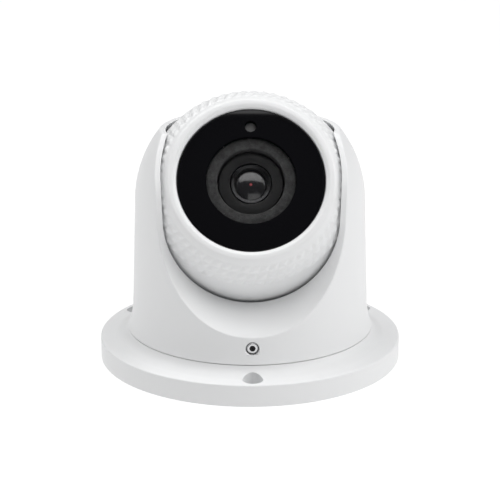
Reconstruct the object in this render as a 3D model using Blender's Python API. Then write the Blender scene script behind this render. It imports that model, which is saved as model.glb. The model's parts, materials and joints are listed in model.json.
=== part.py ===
"""A turret camera: a ball with the camera in it, held in a shroud that turns on a mounting plate.

Run it with blender --background --python part.py, or from the text editor. Sizes are in metres.
The plate lies on Z = 0 with its centre at the origin, and the camera looks towards -Y and up.
"""

import math

import bmesh
import bpy
from mathutils import Vector

MM = 0.001
GAP = 0.3 * MM  # between two faces that meet
FAR = 20 * MM  # how far a cutter reaches past the surface that it cuts

# Ball and the shroud round it
BALL_RADIUS = 44.3 * MM
BALL_GAP = 1.3 * MM  # between the ball and its socket
SHROUD_WALL = 2.0 * MM
SHROUD_DRAFT = 0.035  # how much the radius grows per unit of height lost
BALL_FLOOR_HEIGHT = 22.7 * MM  # the lowest point of the ball above the mounting face
DOME_CUT = 30.0 * MM  # the flat top of the shroud above the ball's centre
SOCKET_RADIUS = BALL_RADIUS + BALL_GAP
SHROUD_RADIUS = SOCKET_RADIUS + SHROUD_WALL
BALL_HEIGHT = BALL_FLOOR_HEIGHT + BALL_RADIUS

# U-shaped opening of the shroud
OPENING_SETBACK = 10.3 * MM  # the opening's inner edge inside the socket's radius
OPENING_DRAFT = math.radians(3.0)
FACET_SIDE = 2.6 * MM  # width of the flat facet beside the opening
FACET_DROP = 43.3 * MM  # lowest point of the facet's outer edge below the ball's centre
FACET_RISE = 4.0 * MM  # centre of the facet's outer curve above the ball's centre
FACET_POWER = 2.2  # how square that curve is: 2 is an ellipse
OPENING_RADIUS = SOCKET_RADIUS - OPENING_SETBACK

# Mounting plate
PLATE_WALL = 9.0 * MM
SEAM_HEIGHT = 12.85 * MM  # where the shroud's foot meets the plate
FOOT_FLARE = 2.0 * MM  # how far the foot spreads at the seam
FOOT_FLARE_HEIGHT = 10.0 * MM
FLARE_WIDTH = 5.9 * MM  # the plate's own share of the flare
SCREW_LAND = 5.6 * MM  # flat of the plate outside the flare
PLATE_EDGE = 0.6 * MM
PLATE_FLOOR = 4.0 * MM
CABLE_HOLE_RADIUS = 12.0 * MM
MOUNT_HOLES = 3
MOUNT_HOLE_RADIUS = 2.2 * MM
MOUNT_BORE_RADIUS = 4.1 * MM
MOUNT_BORE_EDGE = 1.9 * MM  # metal left outside a screw's counterbore
MOUNT_BORE_FLOOR = 3.0 * MM
PAD_WIDTH = 6.0 * MM  # foam ring in the plate's underside
PAD_INSET = 2.0 * MM
PAD_DEPTH = 1.5 * MM

# Turning joint between plate and shroud
SPIGOT_CLEARANCE = 0.4 * MM
SPIGOT_WALL = 4.2 * MM
SPIGOT_TOP = 21.6 * MM
WASHER_THICKNESS = 0.9 * MM
SNAP_GROOVE_HEIGHT = 2.0 * MM
SNAP_GROOVE_DEPTH = 1.9 * MM
SNAP_GAP_ANGLE = math.radians(14.0)
CUP_WALL = 1.5 * MM  # the socket cup's wall at its top edge
CUP_OPENING = math.radians(25.0)  # half angle of the cup's open bottom

# Lock screw and its brake shoe
LOCK_HEIGHT = 19.2 * MM
LOCK_RADIUS = 2.35 * MM
LOCK_LENGTH = 1.6 * MM
LOCK_INSET = 0.4 * MM
HEX_RADIUS = 1.3 * MM
SHOE_RADIUS = 1.5 * MM
SHOE_TRAVEL = 0.8 * MM
THREAD_CLEARANCE = 0.35 * MM

# Shells of the ball
SHELL_WALL = 2.4 * MM
REST_TILT = math.radians(32.0)  # optical axis above the horizontal
FRONT_CUT = 15.4 * MM  # the bezel's edge behind the ball's foremost point
BEZEL_WIDTH = 3.9 * MM
BEZEL_LIP = 0.9 * MM  # bezel edge in front of the window
WINDOW_THICKNESS = 1.8 * MM
WINDOW_LEDGE = 2.4 * MM
GASKET_THICKNESS = 0.8 * MM
BAND_FRONT = math.radians(53.0)  # the faceted band's angles from the optical axis
BAND_BACK = math.radians(68.4)
BAND_ROWS = 3
BAND_COLUMNS = 60
PYRAMID_HEIGHT = 0.7 * MM
RING_BACK = 7.9 * MM  # the swivel ring's rear face behind the ball's centre
RING_WIDTH = 4.0 * MM
NECK_STEP = 3.2 * MM  # neck of the rear shell below the ball's surface
NECK_WALL = 3.2 * MM
NECK_LENGTH = 12.2 * MM
NECK_ROOT = 3.8 * MM
SEAL_WIDTH = 1.6 * MM
SEAL_DEPTH = 1.2 * MM
SHELL_HOLE_RADIUS = 5.5 * MM

# Lens, and the mask round it
LENS_HEAD_RADIUS = 13.2 * MM
LENS_HEAD_LENGTH = 8.0 * MM
LENS_HEAD_BACK = 3.2 * MM  # lens face behind the window's rear face
LENS_THREAD_RADIUS = 6.9 * MM
LENS_THREAD_LENGTH = 7.0 * MM
TRIM_RADIUS = 8.3 * MM
TRIM_WIDTH = 1.5 * MM
GLASS_RADIUS = 6.2 * MM
REAR_GLASS_RADIUS = 4.6 * MM
SHIELD_WIDTH = 4.6 * MM
SHIELD_GAP = 0.4 * MM  # between the lens and the shield
HOLDER_WALL = 1.9 * MM
HOLDER_FLANGE = 22.0 * MM
SENSOR_EYE_RADIUS = 2.25 * MM
LED_RADIUS = 3.0 * MM
LED_FOOT = 3.8 * MM
LED_SPACING = 2.0 * MM  # from the shield to the lamps and to the light sensor

# Plates and boards across the ball
CARRIER_THICKNESS = 2.0 * MM
BOARD_THICKNESS = 1.3 * MM
LED_BOARD_STANDOFF = 6.3 * MM
LED_BOARD_MARGIN = 6.0 * MM
SENSOR_BOARD_SIDE = 38.4 * MM
MAIN_BOARD_STANDOFF = 10.6 * MM
MAIN_BOARD_MARGIN = 4.0 * MM
POSTS = 3
POST_RADIUS = 2.0 * MM
LED_POST_RADIUS = 1.6 * MM
POST_INSET = 3.6 * MM
FRAME_SCREW_HEAD = 1.3 * MM
FRAME_SCREW_SHANK = 0.7 * MM
FRAME_SCREW_DEPTH = 4.0 * MM

# Day and night filter
FILTER_TRAVEL = 8.0 * MM
FILTER_THICKNESS = 0.7 * MM
FILTER_APERTURE = 6.6 * MM
FILTER_RIM = 1.2 * MM
FILTER_TAIL = 4.0 * MM
SLOT_RIM = 0.8 * MM  # between the filter's windows and the lever's slot
HOUSING_DEPTH = 3.6 * MM
HOUSING_ROOF = 0.6 * MM
HOUSING_WALL = 1.2 * MM
LEVER_LENGTH = 11.0 * MM
LEVER_WIDTH = 1.8 * MM
LEVER_HUB_RADIUS = 2.2 * MM
LEVER_PIN_RADIUS = 0.6 * MM
LEVER_PIN_CLEARANCE = 0.35 * MM

# Facets of round shapes
ROUND = 36
MEDIUM_ROUND = 24
SMALL_ROUND = 16
TINY_ROUND = 12


def chord(radius, offset):
    """Radius of a sphere's cut at this distance from its centre."""
    return math.sqrt(radius * radius - offset * offset)


def around(count, start=0.0):
    """Even angles round a circle."""
    return [start + 2 * math.pi * i / count for i in range(count)]


def arc(radius, start, end, count, centre=(0.0, 0.0)):
    """Points of an arc as (r, z), with the angle taken from +Z towards +R."""
    angles = [start + (end - start) * i / count for i in range(count + 1)]
    return [(centre[0] + radius * math.sin(a), centre[1] + radius * math.cos(a)) for a in angles]


# Places that several pieces share, worked out from the sizes above
SHROUD_SEAM_RADIUS = SHROUD_RADIUS + SHROUD_DRAFT * (BALL_HEIGHT - SEAM_HEIGHT) + FOOT_FLARE
FLARE_OUTER = SHROUD_SEAM_RADIUS + FLARE_WIDTH
PLATE_RADIUS = FLARE_OUTER + SCREW_LAND
MOUNT_CIRCLE = PLATE_RADIUS - MOUNT_BORE_EDGE - MOUNT_BORE_RADIUS
SPIGOT_RADIUS = SOCKET_RADIUS - SPIGOT_CLEARANCE
CUP_BOTTOM = SPIGOT_TOP + WASHER_THICKNESS + 2 * GAP
SNAP_BOTTOM = SEAM_HEIGHT + 1.35 * MM
SHOE_BORE_RADIUS = SHOE_RADIUS + THREAD_CLEARANCE
LOCK_BORE_RADIUS = LOCK_RADIUS + THREAD_CLEARANCE
SHELL_INNER = BALL_RADIUS - SHELL_WALL
BEZEL_PLANE = BALL_RADIUS - FRONT_CUT
BEZEL_EDGE = chord(BALL_RADIUS, BEZEL_PLANE)
WINDOW_BORE = BEZEL_EDGE - BEZEL_WIDTH + GAP
WINDOW_RADIUS = WINDOW_BORE - GAP
WINDOW_FRONT = BEZEL_PLANE - BEZEL_LIP - 1.0 * MM
WINDOW_REAR = WINDOW_FRONT - WINDOW_THICKNESS
LEDGE_FRONT = WINDOW_REAR - GASKET_THICKNESS - 2 * GAP
NECK_RADIUS = BALL_RADIUS - NECK_STEP
NECK_BACK = -RING_BACK - GAP
NECK_FRONT = NECK_BACK + NECK_LENGTH
FRONT_SHELL_BACK = -RING_BACK + RING_WIDTH + GAP
CARRIER_BACK = NECK_FRONT + GAP
CARRIER_FRONT = CARRIER_BACK + CARRIER_THICKNESS
LED_BOARD_BACK = CARRIER_FRONT + LED_BOARD_STANDOFF
LED_BOARD_FRONT = LED_BOARD_BACK + BOARD_THICKNESS
LED_BOARD_RADIUS = chord(SHELL_INNER, LED_BOARD_FRONT) - LED_BOARD_MARGIN
MAIN_BOARD_FRONT = CARRIER_BACK - MAIN_BOARD_STANDOFF
MAIN_BOARD_BACK = MAIN_BOARD_FRONT - BOARD_THICKNESS
MAIN_BOARD_RADIUS = NECK_RADIUS - NECK_WALL - MAIN_BOARD_MARGIN
HOUSING_FRONT = CARRIER_BACK - GAP
HOUSING_BACK = HOUSING_FRONT - HOUSING_DEPTH
SENSOR_BOARD_FRONT = HOUSING_BACK - GAP
LENS_FACE = WINDOW_REAR - LENS_HEAD_BACK
LENS_SHOULDER = LENS_FACE - LENS_HEAD_LENGTH
LENS_BACK = LENS_SHOULDER - LENS_THREAD_LENGTH
HOLDER_BORE = LENS_THREAD_RADIUS + GAP
LEVER_SWING = 2 * math.asin(FILTER_TRAVEL / 2 / LEVER_LENGTH)
SLOT_HALF = LEVER_PIN_RADIUS + LEVER_PIN_CLEARANCE
LEVER_PIVOT_Y = LEVER_LENGTH + FILTER_APERTURE / 2 + SLOT_RIM + SLOT_HALF + GAP
SHIELD_INNER = LENS_HEAD_RADIUS + SHIELD_GAP
SHIELD_OUTER = SHIELD_INNER + SHIELD_WIDTH
LED_OFFSET = SHIELD_OUTER + LED_SPACING + LED_FOOT
SENSOR_EYE_OFFSET = SHIELD_OUTER + LED_SPACING + SENSOR_EYE_RADIUS

SCENE = bpy.context.scene.collection


def clear_scene():
    for old in list(bpy.data.objects):
        bpy.data.objects.remove(old, do_unlink=True)


def finish(name, colour, roughness, metallic=0.0):
    """A material with a plain Principled surface."""
    made = bpy.data.materials.new(name)
    made.use_nodes = True
    shader = made.node_tree.nodes["Principled BSDF"]
    shader.inputs["Base Color"].default_value = (*colour, 1.0)
    shader.inputs["Roughness"].default_value = roughness
    shader.inputs["Metallic"].default_value = metallic
    made.diffuse_color = (*colour, 1.0)
    return made


def empty(name, location=(0, 0, 0), turn=(0, 0, 0), parent=None):
    made = bpy.data.objects.new(name, None)
    made.empty_display_size = 0.01
    made.location = location
    made.rotation_euler = turn
    made.parent = parent
    SCENE.objects.link(made)
    return made


def make_object(name, points, faces, material=None, parent=None, smooth=True):
    """An object from its points and faces, with the faces turned outwards."""
    mesh = bpy.data.meshes.new(name)
    mesh.from_pydata([tuple(p) for p in points], [], faces)
    shape = bmesh.new()
    shape.from_mesh(mesh)
    bmesh.ops.recalc_face_normals(shape, faces=shape.faces)
    shape.to_mesh(mesh)
    shape.free()
    if smooth:
        mesh.shade_smooth()
        mesh.set_sharp_from_angle(angle=math.radians(35))
    made = bpy.data.objects.new(name, mesh)
    made.parent = parent
    if material:
        mesh.materials.append(material)
    SCENE.objects.link(made)
    return made


def turned(name, profile, material=None, parent=None, count=ROUND, start=0.0):
    """A turned solid: the closed (r, z) outline carried round the local Z axis.

    An outline that starts and ends on the axis gives a solid with no hole in it.
    """
    on_axis = profile[0][0] == 0.0
    rings = profile[1:-1] if on_axis else profile
    turns = around(count, start)
    points = [Vector((r * math.cos(a), r * math.sin(a), z)) for r, z in rings for a in turns]
    faces = []
    last = len(rings) - 1 if on_axis else len(rings)
    for i in range(last):
        here, there = i * count, (i + 1) % len(rings) * count
        for j in range(count):
            k = (j + 1) % count
            faces.append((here + j, here + k, there + k, there + j))
    if on_axis:
        for ring, z in ((0, profile[0][1]), (len(rings) - 1, profile[-1][1])):
            points.append(Vector((0, 0, z)))
            tip = len(points) - 1
            faces += [(ring * count + j, ring * count + (j + 1) % count, tip) for j in range(count)]
    return make_object(name, points, faces, material, parent)


def tube(name, inner, outer, low, high, material=None, parent=None, count=ROUND):
    return turned(name, [(inner, low), (outer, low), (outer, high), (inner, high)], material, parent, count)


def rod(name, radius, low, high, material=None, parent=None, count=SMALL_ROUND, at=(0.0, 0.0)):
    # turned a little, so that no corner of a cutter lies on a corner of what it cuts
    outline = [(0.0, low), (radius, low), (radius, high), (0.0, high)]
    made = turned(name, outline, material, parent, count, start=1.7 / count)
    made.location = (at[0], at[1], 0.0)
    return made


def block(name, low, high, material=None, parent=None):
    """A box between two corners."""
    points = [(x, y, z) for x in (low[0], high[0]) for y in (low[1], high[1]) for z in (low[2], high[2])]
    faces = [(0, 1, 3, 2), (4, 6, 7, 5), (0, 4, 5, 1), (2, 3, 7, 6), (0, 2, 6, 4), (1, 5, 7, 3)]
    return make_object(name, points, faces, material, parent, smooth=False)


def cut(piece, *cutters):
    """Takes the cutters out of the piece. They stay in the scene as hidden helpers."""
    for cutter in cutters:
        cutter.hide_render = True
        cutter.display_type = "WIRE"
        change = piece.modifiers.new("cut_" + cutter.name, "BOOLEAN")
        change.operation = "DIFFERENCE"
        change.object = cutter
        change.solver = "EXACT"
    return piece


def join_solids(piece, *others):
    """Adds other solids that overlap the piece. They stay in the scene as hidden helpers."""
    for other in others:
        other.hide_render = True
        other.display_type = "WIRE"
        change = piece.modifiers.new("join_" + other.name, "BOOLEAN")
        change.operation = "UNION"
        change.object = other
        change.solver = "EXACT"
    return piece


# ---------------------------------------------------------------- mounting plate


def foot_flare_radius(height):
    """Outer radius of the shroud below the ball's centre: a drafted wall with a flared foot.

    The flare is an arc that leaves the wall smoothly at the top of the foot.
    """
    wall = SHROUD_RADIUS + SHROUD_DRAFT * (BALL_HEIGHT - height)
    below = SEAM_HEIGHT + FOOT_FLARE_HEIGHT - height
    if below <= 0:
        return wall
    bend = (FOOT_FLARE_HEIGHT**2 + FOOT_FLARE**2) / (2 * FOOT_FLARE)
    return wall + bend - chord(bend, below)


def plate_flare(steps=4):
    """The plate's concave fillet, from its flat top up to the seam."""
    rise = SEAM_HEIGHT - PLATE_WALL
    sweep = 2 * math.atan(rise / FLARE_WIDTH)
    bend = FLARE_WIDTH / math.sin(sweep)
    centre = (FLARE_OUTER, PLATE_WALL + bend)
    return arc(bend, math.pi, math.pi + sweep, steps, centre)


def mounting_base(material, parent):
    pad_outer = MOUNT_CIRCLE - MOUNT_BORE_RADIUS - PAD_INSET
    pad_inner = pad_outer - PAD_WIDTH
    groove_floor = SPIGOT_RADIUS - SNAP_GROOVE_DEPTH - GAP
    shoe_floor = SPIGOT_RADIUS - SHOE_TRAVEL - 2 * GAP
    shoe_low = LOCK_HEIGHT - SHOE_RADIUS - GAP
    shoe_high = LOCK_HEIGHT + SHOE_RADIUS + GAP
    outline = [
        (CABLE_HOLE_RADIUS, 0.0),
        (pad_inner, 0.0),
        (pad_inner, PAD_DEPTH),
        (pad_outer, PAD_DEPTH),
        (pad_outer, 0.0),
        (PLATE_RADIUS - PLATE_EDGE / 2, 0.0),
        (PLATE_RADIUS, PLATE_EDGE / 2),
        (PLATE_RADIUS, PLATE_WALL - PLATE_EDGE),
        (PLATE_RADIUS - PLATE_EDGE * 0.3, PLATE_WALL - PLATE_EDGE * 0.3),
        (PLATE_RADIUS - PLATE_EDGE, PLATE_WALL),
        *plate_flare(),
        (SPIGOT_RADIUS, SEAM_HEIGHT),
        (SPIGOT_RADIUS, SNAP_BOTTOM),
        (groove_floor, SNAP_BOTTOM),
        (groove_floor, SNAP_BOTTOM + SNAP_GROOVE_HEIGHT),
        (SPIGOT_RADIUS, SNAP_BOTTOM + SNAP_GROOVE_HEIGHT),
        (SPIGOT_RADIUS, shoe_low),
        (shoe_floor, shoe_low),
        (shoe_floor, shoe_high),
        (SPIGOT_RADIUS, shoe_high),
        (SPIGOT_RADIUS, SPIGOT_TOP),
        (SPIGOT_RADIUS - SPIGOT_WALL, SPIGOT_TOP),
        (SPIGOT_RADIUS - SPIGOT_WALL, PLATE_FLOOR),
        (CABLE_HOLE_RADIUS, PLATE_FLOOR),
    ]
    base = turned("mounting_base", outline, material, parent)
    for number, angle in enumerate(around(MOUNT_HOLES, -math.pi / 2), 1):
        place = (MOUNT_CIRCLE * math.cos(angle), MOUNT_CIRCLE * math.sin(angle))
        low, high = MOUNT_BORE_FLOOR, SEAM_HEIGHT + FAR
        bore = rod(f"counterbore_{number}", MOUNT_BORE_RADIUS, low, high, None, parent, SMALL_ROUND, place)
        hole = rod(f"screw_hole_{number}", MOUNT_HOLE_RADIUS, -FAR, high, None, parent, TINY_ROUND, place)
        cut(base, bore, hole)
    return base


def base_pad(material, parent):
    """Foam ring that seals the plate against the ceiling."""
    outer = MOUNT_CIRCLE - MOUNT_BORE_RADIUS - PAD_INSET - GAP
    inner = outer - PAD_WIDTH + 2 * GAP
    return tube("base_pad", inner, outer, 0.0, PAD_DEPTH - GAP, material, parent)


def cable_gland(material, parent):
    """Rubber bush in the plate's cable hole, with a lip above the plate's floor."""
    hole = CABLE_HOLE_RADIUS - GAP
    lip = CABLE_HOLE_RADIUS + 2.0 * MM
    throat = 4.0 * MM
    outline = [
        (throat, 0.5 * MM),
        (hole, 0.5 * MM),
        (hole, PLATE_FLOOR + GAP),
        (lip, PLATE_FLOOR + GAP),
        (lip, PLATE_FLOOR + 2.0 * MM),
        (throat + 2.0 * MM, PLATE_FLOOR + 5.0 * MM),
        (throat, PLATE_FLOOR + 5.0 * MM),
    ]
    return turned("cable_gland", outline, material, parent, SMALL_ROUND)


def snap_ring(material, parent):
    """Open spring ring that holds the shroud on the plate's spigot."""
    inner = SPIGOT_RADIUS - SNAP_GROOVE_DEPTH
    outer = SOCKET_RADIUS + SNAP_GROOVE_DEPTH - GAP
    low = SNAP_BOTTOM + GAP
    high = SNAP_BOTTOM + SNAP_GROOVE_HEIGHT - GAP
    start = math.pi / 2 + SNAP_GAP_ANGLE / 2
    sweep = 2 * math.pi - SNAP_GAP_ANGLE
    steps = ROUND - 2
    points = []
    for i in range(steps + 1):
        angle = start + sweep * i / steps
        for r, z in ((inner, low), (outer, low), (outer, high), (inner, high)):
            points.append((r * math.cos(angle), r * math.sin(angle), z))
    faces = [(0, 1, 2, 3), tuple(4 * steps + k for k in (3, 2, 1, 0))]
    for i in range(steps):
        for k in range(4):
            j = (k + 1) % 4
            faces.append((4 * i + k, 4 * i + j, 4 * i + 4 + j, 4 * i + 4 + k))
    return make_object("snap_ring", points, faces, material, parent)


# ---------------------------------------------------------------- shroud


def opening_edges():
    """Pairs of points on the shroud's opening, from its left top down and round to its right top.

    The first of a pair is on the inner edge, where the opening meets the socket, and the second on
    the outer edge of the facet. Both are (x, forward, z) about the ball's centre. The inner edge is
    a half circle whose sides lean outwards; the outer edge is half a squared ellipse.
    """
    top = DOME_CUT + 4.0 * MM
    drop = FACET_DROP + FACET_RISE
    wide = OPENING_RADIUS + FACET_SIDE
    lean = math.tan(OPENING_DRAFT)
    half = []
    round_steps = 10
    for i in range(round_steps + 1):
        turn = math.pi / 2 * i / round_steps
        inner = (OPENING_RADIUS * math.sin(turn), -OPENING_RADIUS * math.cos(turn))
        power = 2 / FACET_POWER
        outer = (wide * math.sin(turn) ** power, FACET_RISE - drop * math.cos(turn) ** power)
        half.append((inner, outer))
    side_steps = 6
    for i in range(1, side_steps + 1):
        height = top * i / side_steps
        outer_height = FACET_RISE + (top - FACET_RISE) * i / side_steps
        inner = (OPENING_RADIUS + lean * height, height)
        outer = (wide + lean * (outer_height - FACET_RISE), outer_height)
        half.append((inner, outer))
    pairs = []
    for inner, outer in half:
        socket = SOCKET_RADIUS**2 - inner[0] ** 2 - inner[1] ** 2
        inside = math.sqrt(max(socket, 0.0))
        surface = outside_forward(*outer)
        pairs.append(((inner[0], inside, inner[1]), (outer[0], max(surface, 1.0 * MM), outer[1])))
    left = [tuple((-x, f, z) for x, f, z in pair) for pair in pairs[:0:-1]]
    return left + pairs


def outside_forward(x, z):
    """How far forward the shroud's outside is at this place beside and above the ball's centre."""
    radius = chord(SHROUD_RADIUS, z) if 0 < z < SHROUD_RADIUS else foot_flare_radius(BALL_HEIGHT + z)
    return chord(radius, x) if abs(x) < radius else 0.0


def opening_cutter(parent):
    """The solid that cuts the opening and its facet, in front of the ball."""
    rows = []
    for inner, outer in opening_edges():
        start = Vector(inner)
        end = Vector(outer)
        past = end + (end - start).normalized() * 0.15 * MM
        front = max(past.y, SHROUD_RADIUS + FAR)
        rows.append(
            [
                Vector((start.x, -3.0 * MM, start.z)),
                start,
                past,
                Vector((past.x, front, past.z)),
            ]
        )
    count = len(rows)
    points = [Vector((p.x, -p.y, p.z)) for k in range(4) for p in (row[k] for row in rows)]
    faces = [tuple(range(count - 1, -1, -1)), tuple(range(3 * count, 4 * count))]
    for k in range(3):
        for i in range(count):
            j = (i + 1) % count
            faces.append((k * count + i, k * count + j, (k + 1) * count + j, (k + 1) * count + i))
    cutter = make_object("opening_cutter", points, faces, None, parent, smooth=False)
    cutter.location.z = BALL_HEIGHT
    return cutter


def shroud(material, parent, opening):
    """The outer cover: a drafted wall with a flared foot below, and a cut dome above the ball."""
    foot = SEAM_HEIGHT + GAP
    steps = 4
    flare_top = SEAM_HEIGHT + FOOT_FLARE_HEIGHT
    heights = [foot + (flare_top - foot) * i / steps for i in range(steps)]
    heights += [flare_top]
    wall = [(foot_flare_radius(z), z) for z in heights]
    dome_end = math.acos(DOME_CUT / SHROUD_RADIUS)
    dome = arc(SHROUD_RADIUS, math.pi / 2, dome_end, 5, (0.0, BALL_HEIGHT))
    socket_end = math.acos(DOME_CUT / SOCKET_RADIUS)
    socket = arc(SOCKET_RADIUS, socket_end, math.pi / 2, 4, (0.0, BALL_HEIGHT))
    groove = SOCKET_RADIUS + SNAP_GROOVE_DEPTH
    bore = [
        (SOCKET_RADIUS, SNAP_BOTTOM + SNAP_GROOVE_HEIGHT),
        (groove, SNAP_BOTTOM + SNAP_GROOVE_HEIGHT),
        (groove, SNAP_BOTTOM),
        (SOCKET_RADIUS, SNAP_BOTTOM),
        (SOCKET_RADIUS, foot),
    ]
    cover = turned("shroud", wall + dome + socket + bore, material, parent)
    wide = rod("lock_bore", LOCK_BORE_RADIUS, lock_seat(), SHROUD_RADIUS + FAR, None, parent)
    narrow = rod("shoe_bore", SHOE_BORE_RADIUS, SPIGOT_RADIUS - SPIGOT_WALL, lock_seat() + GAP, None, parent)
    for bore_cutter in (wide, narrow):
        bore_cutter.location = (0.0, 0.0, LOCK_HEIGHT)
        bore_cutter.rotation_euler = (math.pi / 2, 0.0, 0.0)
    return cut(cover, opening, wide, narrow)


def lock_seat():
    """Distance from the pan axis to the bottom of the lock screw's bore."""
    return foot_flare_radius(LOCK_HEIGHT) - LOCK_INSET - LOCK_LENGTH - SHOE_TRAVEL - GAP


def ball_cup(material, parent, opening):
    """The socket's lower half, pushed in under the ball. It carries the friction ring."""
    outer = SOCKET_RADIUS - GAP
    top = -chord(SOCKET_RADIUS, outer - CUP_WALL)
    top_angle = math.pi - math.asin((outer - CUP_WALL) / SOCKET_RADIUS)
    ring_low, ring_high = friction_angles()
    open_angle = math.pi - CUP_OPENING
    depth = SOCKET_RADIUS + friction_depth()
    lower = arc(SOCKET_RADIUS, open_angle, math.pi - ring_low, 1, (0.0, BALL_HEIGHT))
    groove = arc(depth, math.pi - ring_low, math.pi - ring_high, 1, (0.0, BALL_HEIGHT))
    upper = arc(SOCKET_RADIUS, math.pi - ring_high, top_angle, 5, (0.0, BALL_HEIGHT))
    outline = [(lower[0][0], CUP_BOTTOM), *lower, *groove, *upper]
    outline += [(outer, BALL_HEIGHT + top), (outer, CUP_BOTTOM)]
    return cut(turned("ball_cup", outline, material, parent), opening)


def friction_angles():
    """Where the friction ring sits, as angles from straight down."""
    return CUP_OPENING + math.radians(2.0), CUP_OPENING + math.radians(7.5)


def friction_depth():
    return 1.6 * MM


def friction_ring(material, parent):
    """Rubber ring under the ball that keeps it where it is set. The pyramids pass over it."""
    low, high = friction_angles()
    slack = GAP / SOCKET_RADIUS
    low, high = math.pi - low - slack, math.pi - high + slack
    inner = arc(BALL_RADIUS + PYRAMID_HEIGHT + GAP, low, high, 1, (0.0, BALL_HEIGHT))
    outer = arc(SOCKET_RADIUS + friction_depth() - GAP, high, low, 1, (0.0, BALL_HEIGHT))
    return turned("friction_ring", inner + outer, material, parent)


def slip_washer(material, parent):
    """Slippery ring between the plate's spigot and the cup."""
    low = SPIGOT_TOP + GAP
    inner = SPIGOT_RADIUS - SPIGOT_WALL + GAP
    return tube("slip_washer", inner, SPIGOT_RADIUS, low, low + WASHER_THICKNESS, material, parent)


def brake_shoe(material, parent):
    """Round pad that the lock screw pushes into the spigot's groove. Its frame looks along -Y."""
    tip = SPIGOT_RADIUS + GAP / 3
    return rod("brake_shoe", SHOE_RADIUS, tip, lock_seat() + SHOE_TRAVEL, material, parent, TINY_ROUND)


def lock_screw(material, parent):
    """Grub screw with a hexagon socket. Its frame looks along -Y."""
    face = foot_flare_radius(LOCK_HEIGHT) - LOCK_INSET
    back = face - LOCK_LENGTH + GAP
    screw = rod("lock_screw", LOCK_RADIUS, back, face, material, parent)
    socket = rod("hex_socket", HEX_RADIUS, face - 0.7 * MM, face + FAR, None, parent, 6)
    return cut(screw, socket)


# ---------------------------------------------------------------- ball


def swivel_ring(material, parent):
    """Ring in the ball's waist. The ball rolls in it, and it tilts in the shroud."""
    back, front = -RING_BACK, -RING_BACK + RING_WIDTH
    inner = NECK_RADIUS + GAP
    outline = [
        (inner, back),
        (chord(BALL_RADIUS, back), back),
        (chord(BALL_RADIUS, (back + front) / 2), (back + front) / 2),
        (chord(BALL_RADIUS, front), front),
        (inner, front),
    ]
    return turned("swivel_ring", outline, material, parent)


def rear_shell(material, parent):
    """Rear bowl of the ball, with the neck that the front shell screws on to."""
    bore = NECK_RADIUS - NECK_WALL
    root = NECK_BACK - NECK_ROOT
    outer_end = math.acos(NECK_BACK / BALL_RADIUS)
    hole_out = math.pi - math.asin(SHELL_HOLE_RADIUS / BALL_RADIUS)
    hole_in = math.pi - math.asin(SHELL_HOLE_RADIUS / SHELL_INNER)
    inner_end = math.acos(root / SHELL_INNER)
    seal_low, seal_high, seal_floor = seal_groove()
    outline = [
        *arc(BALL_RADIUS, hole_out, outer_end, 7),
        (NECK_RADIUS, NECK_BACK),
        (NECK_RADIUS, seal_low),
        (seal_floor, seal_low),
        (seal_floor, seal_high),
        (NECK_RADIUS, seal_high),
        (NECK_RADIUS, NECK_FRONT),
        (bore, NECK_FRONT),
        (bore, root),
        *arc(SHELL_INNER, inner_end, hole_in, 5),
    ]
    shell = turned("rear_shell", outline, material, parent)
    for number, place in enumerate(frame_screw_places(), 1):
        low, high = NECK_FRONT - FRAME_SCREW_DEPTH - GAP, NECK_FRONT + FAR
        hole = rod(f"neck_hole_{number}", FRAME_SCREW_SHANK + GAP, low, high, None, parent, 12, place)
        cut(shell, hole)
    return shell


def seal_groove():
    """Low side, high side and floor radius of the groove for the seal in the neck."""
    middle = (FRONT_SHELL_BACK + NECK_FRONT) / 2 + 0.6 * MM
    half = SEAL_WIDTH / 2 + GAP
    return middle - half, middle + half, NECK_RADIUS - SEAL_DEPTH


def shell_seal(material, parent):
    """O-ring between the two shells."""
    low, high, floor = seal_groove()
    inner, outer = floor + GAP, SHELL_INNER - 1.2 * GAP
    low, high = low + GAP, high - GAP
    middle = (low + high) / 2
    bevel = (outer - inner) / 4
    outline = [
        (inner + bevel, low),
        (outer - bevel, low),
        (outer, middle),
        (outer - bevel, high),
        (inner + bevel, high),
        (inner, middle),
    ]
    return turned("shell_seal", outline, material, parent)


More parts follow.
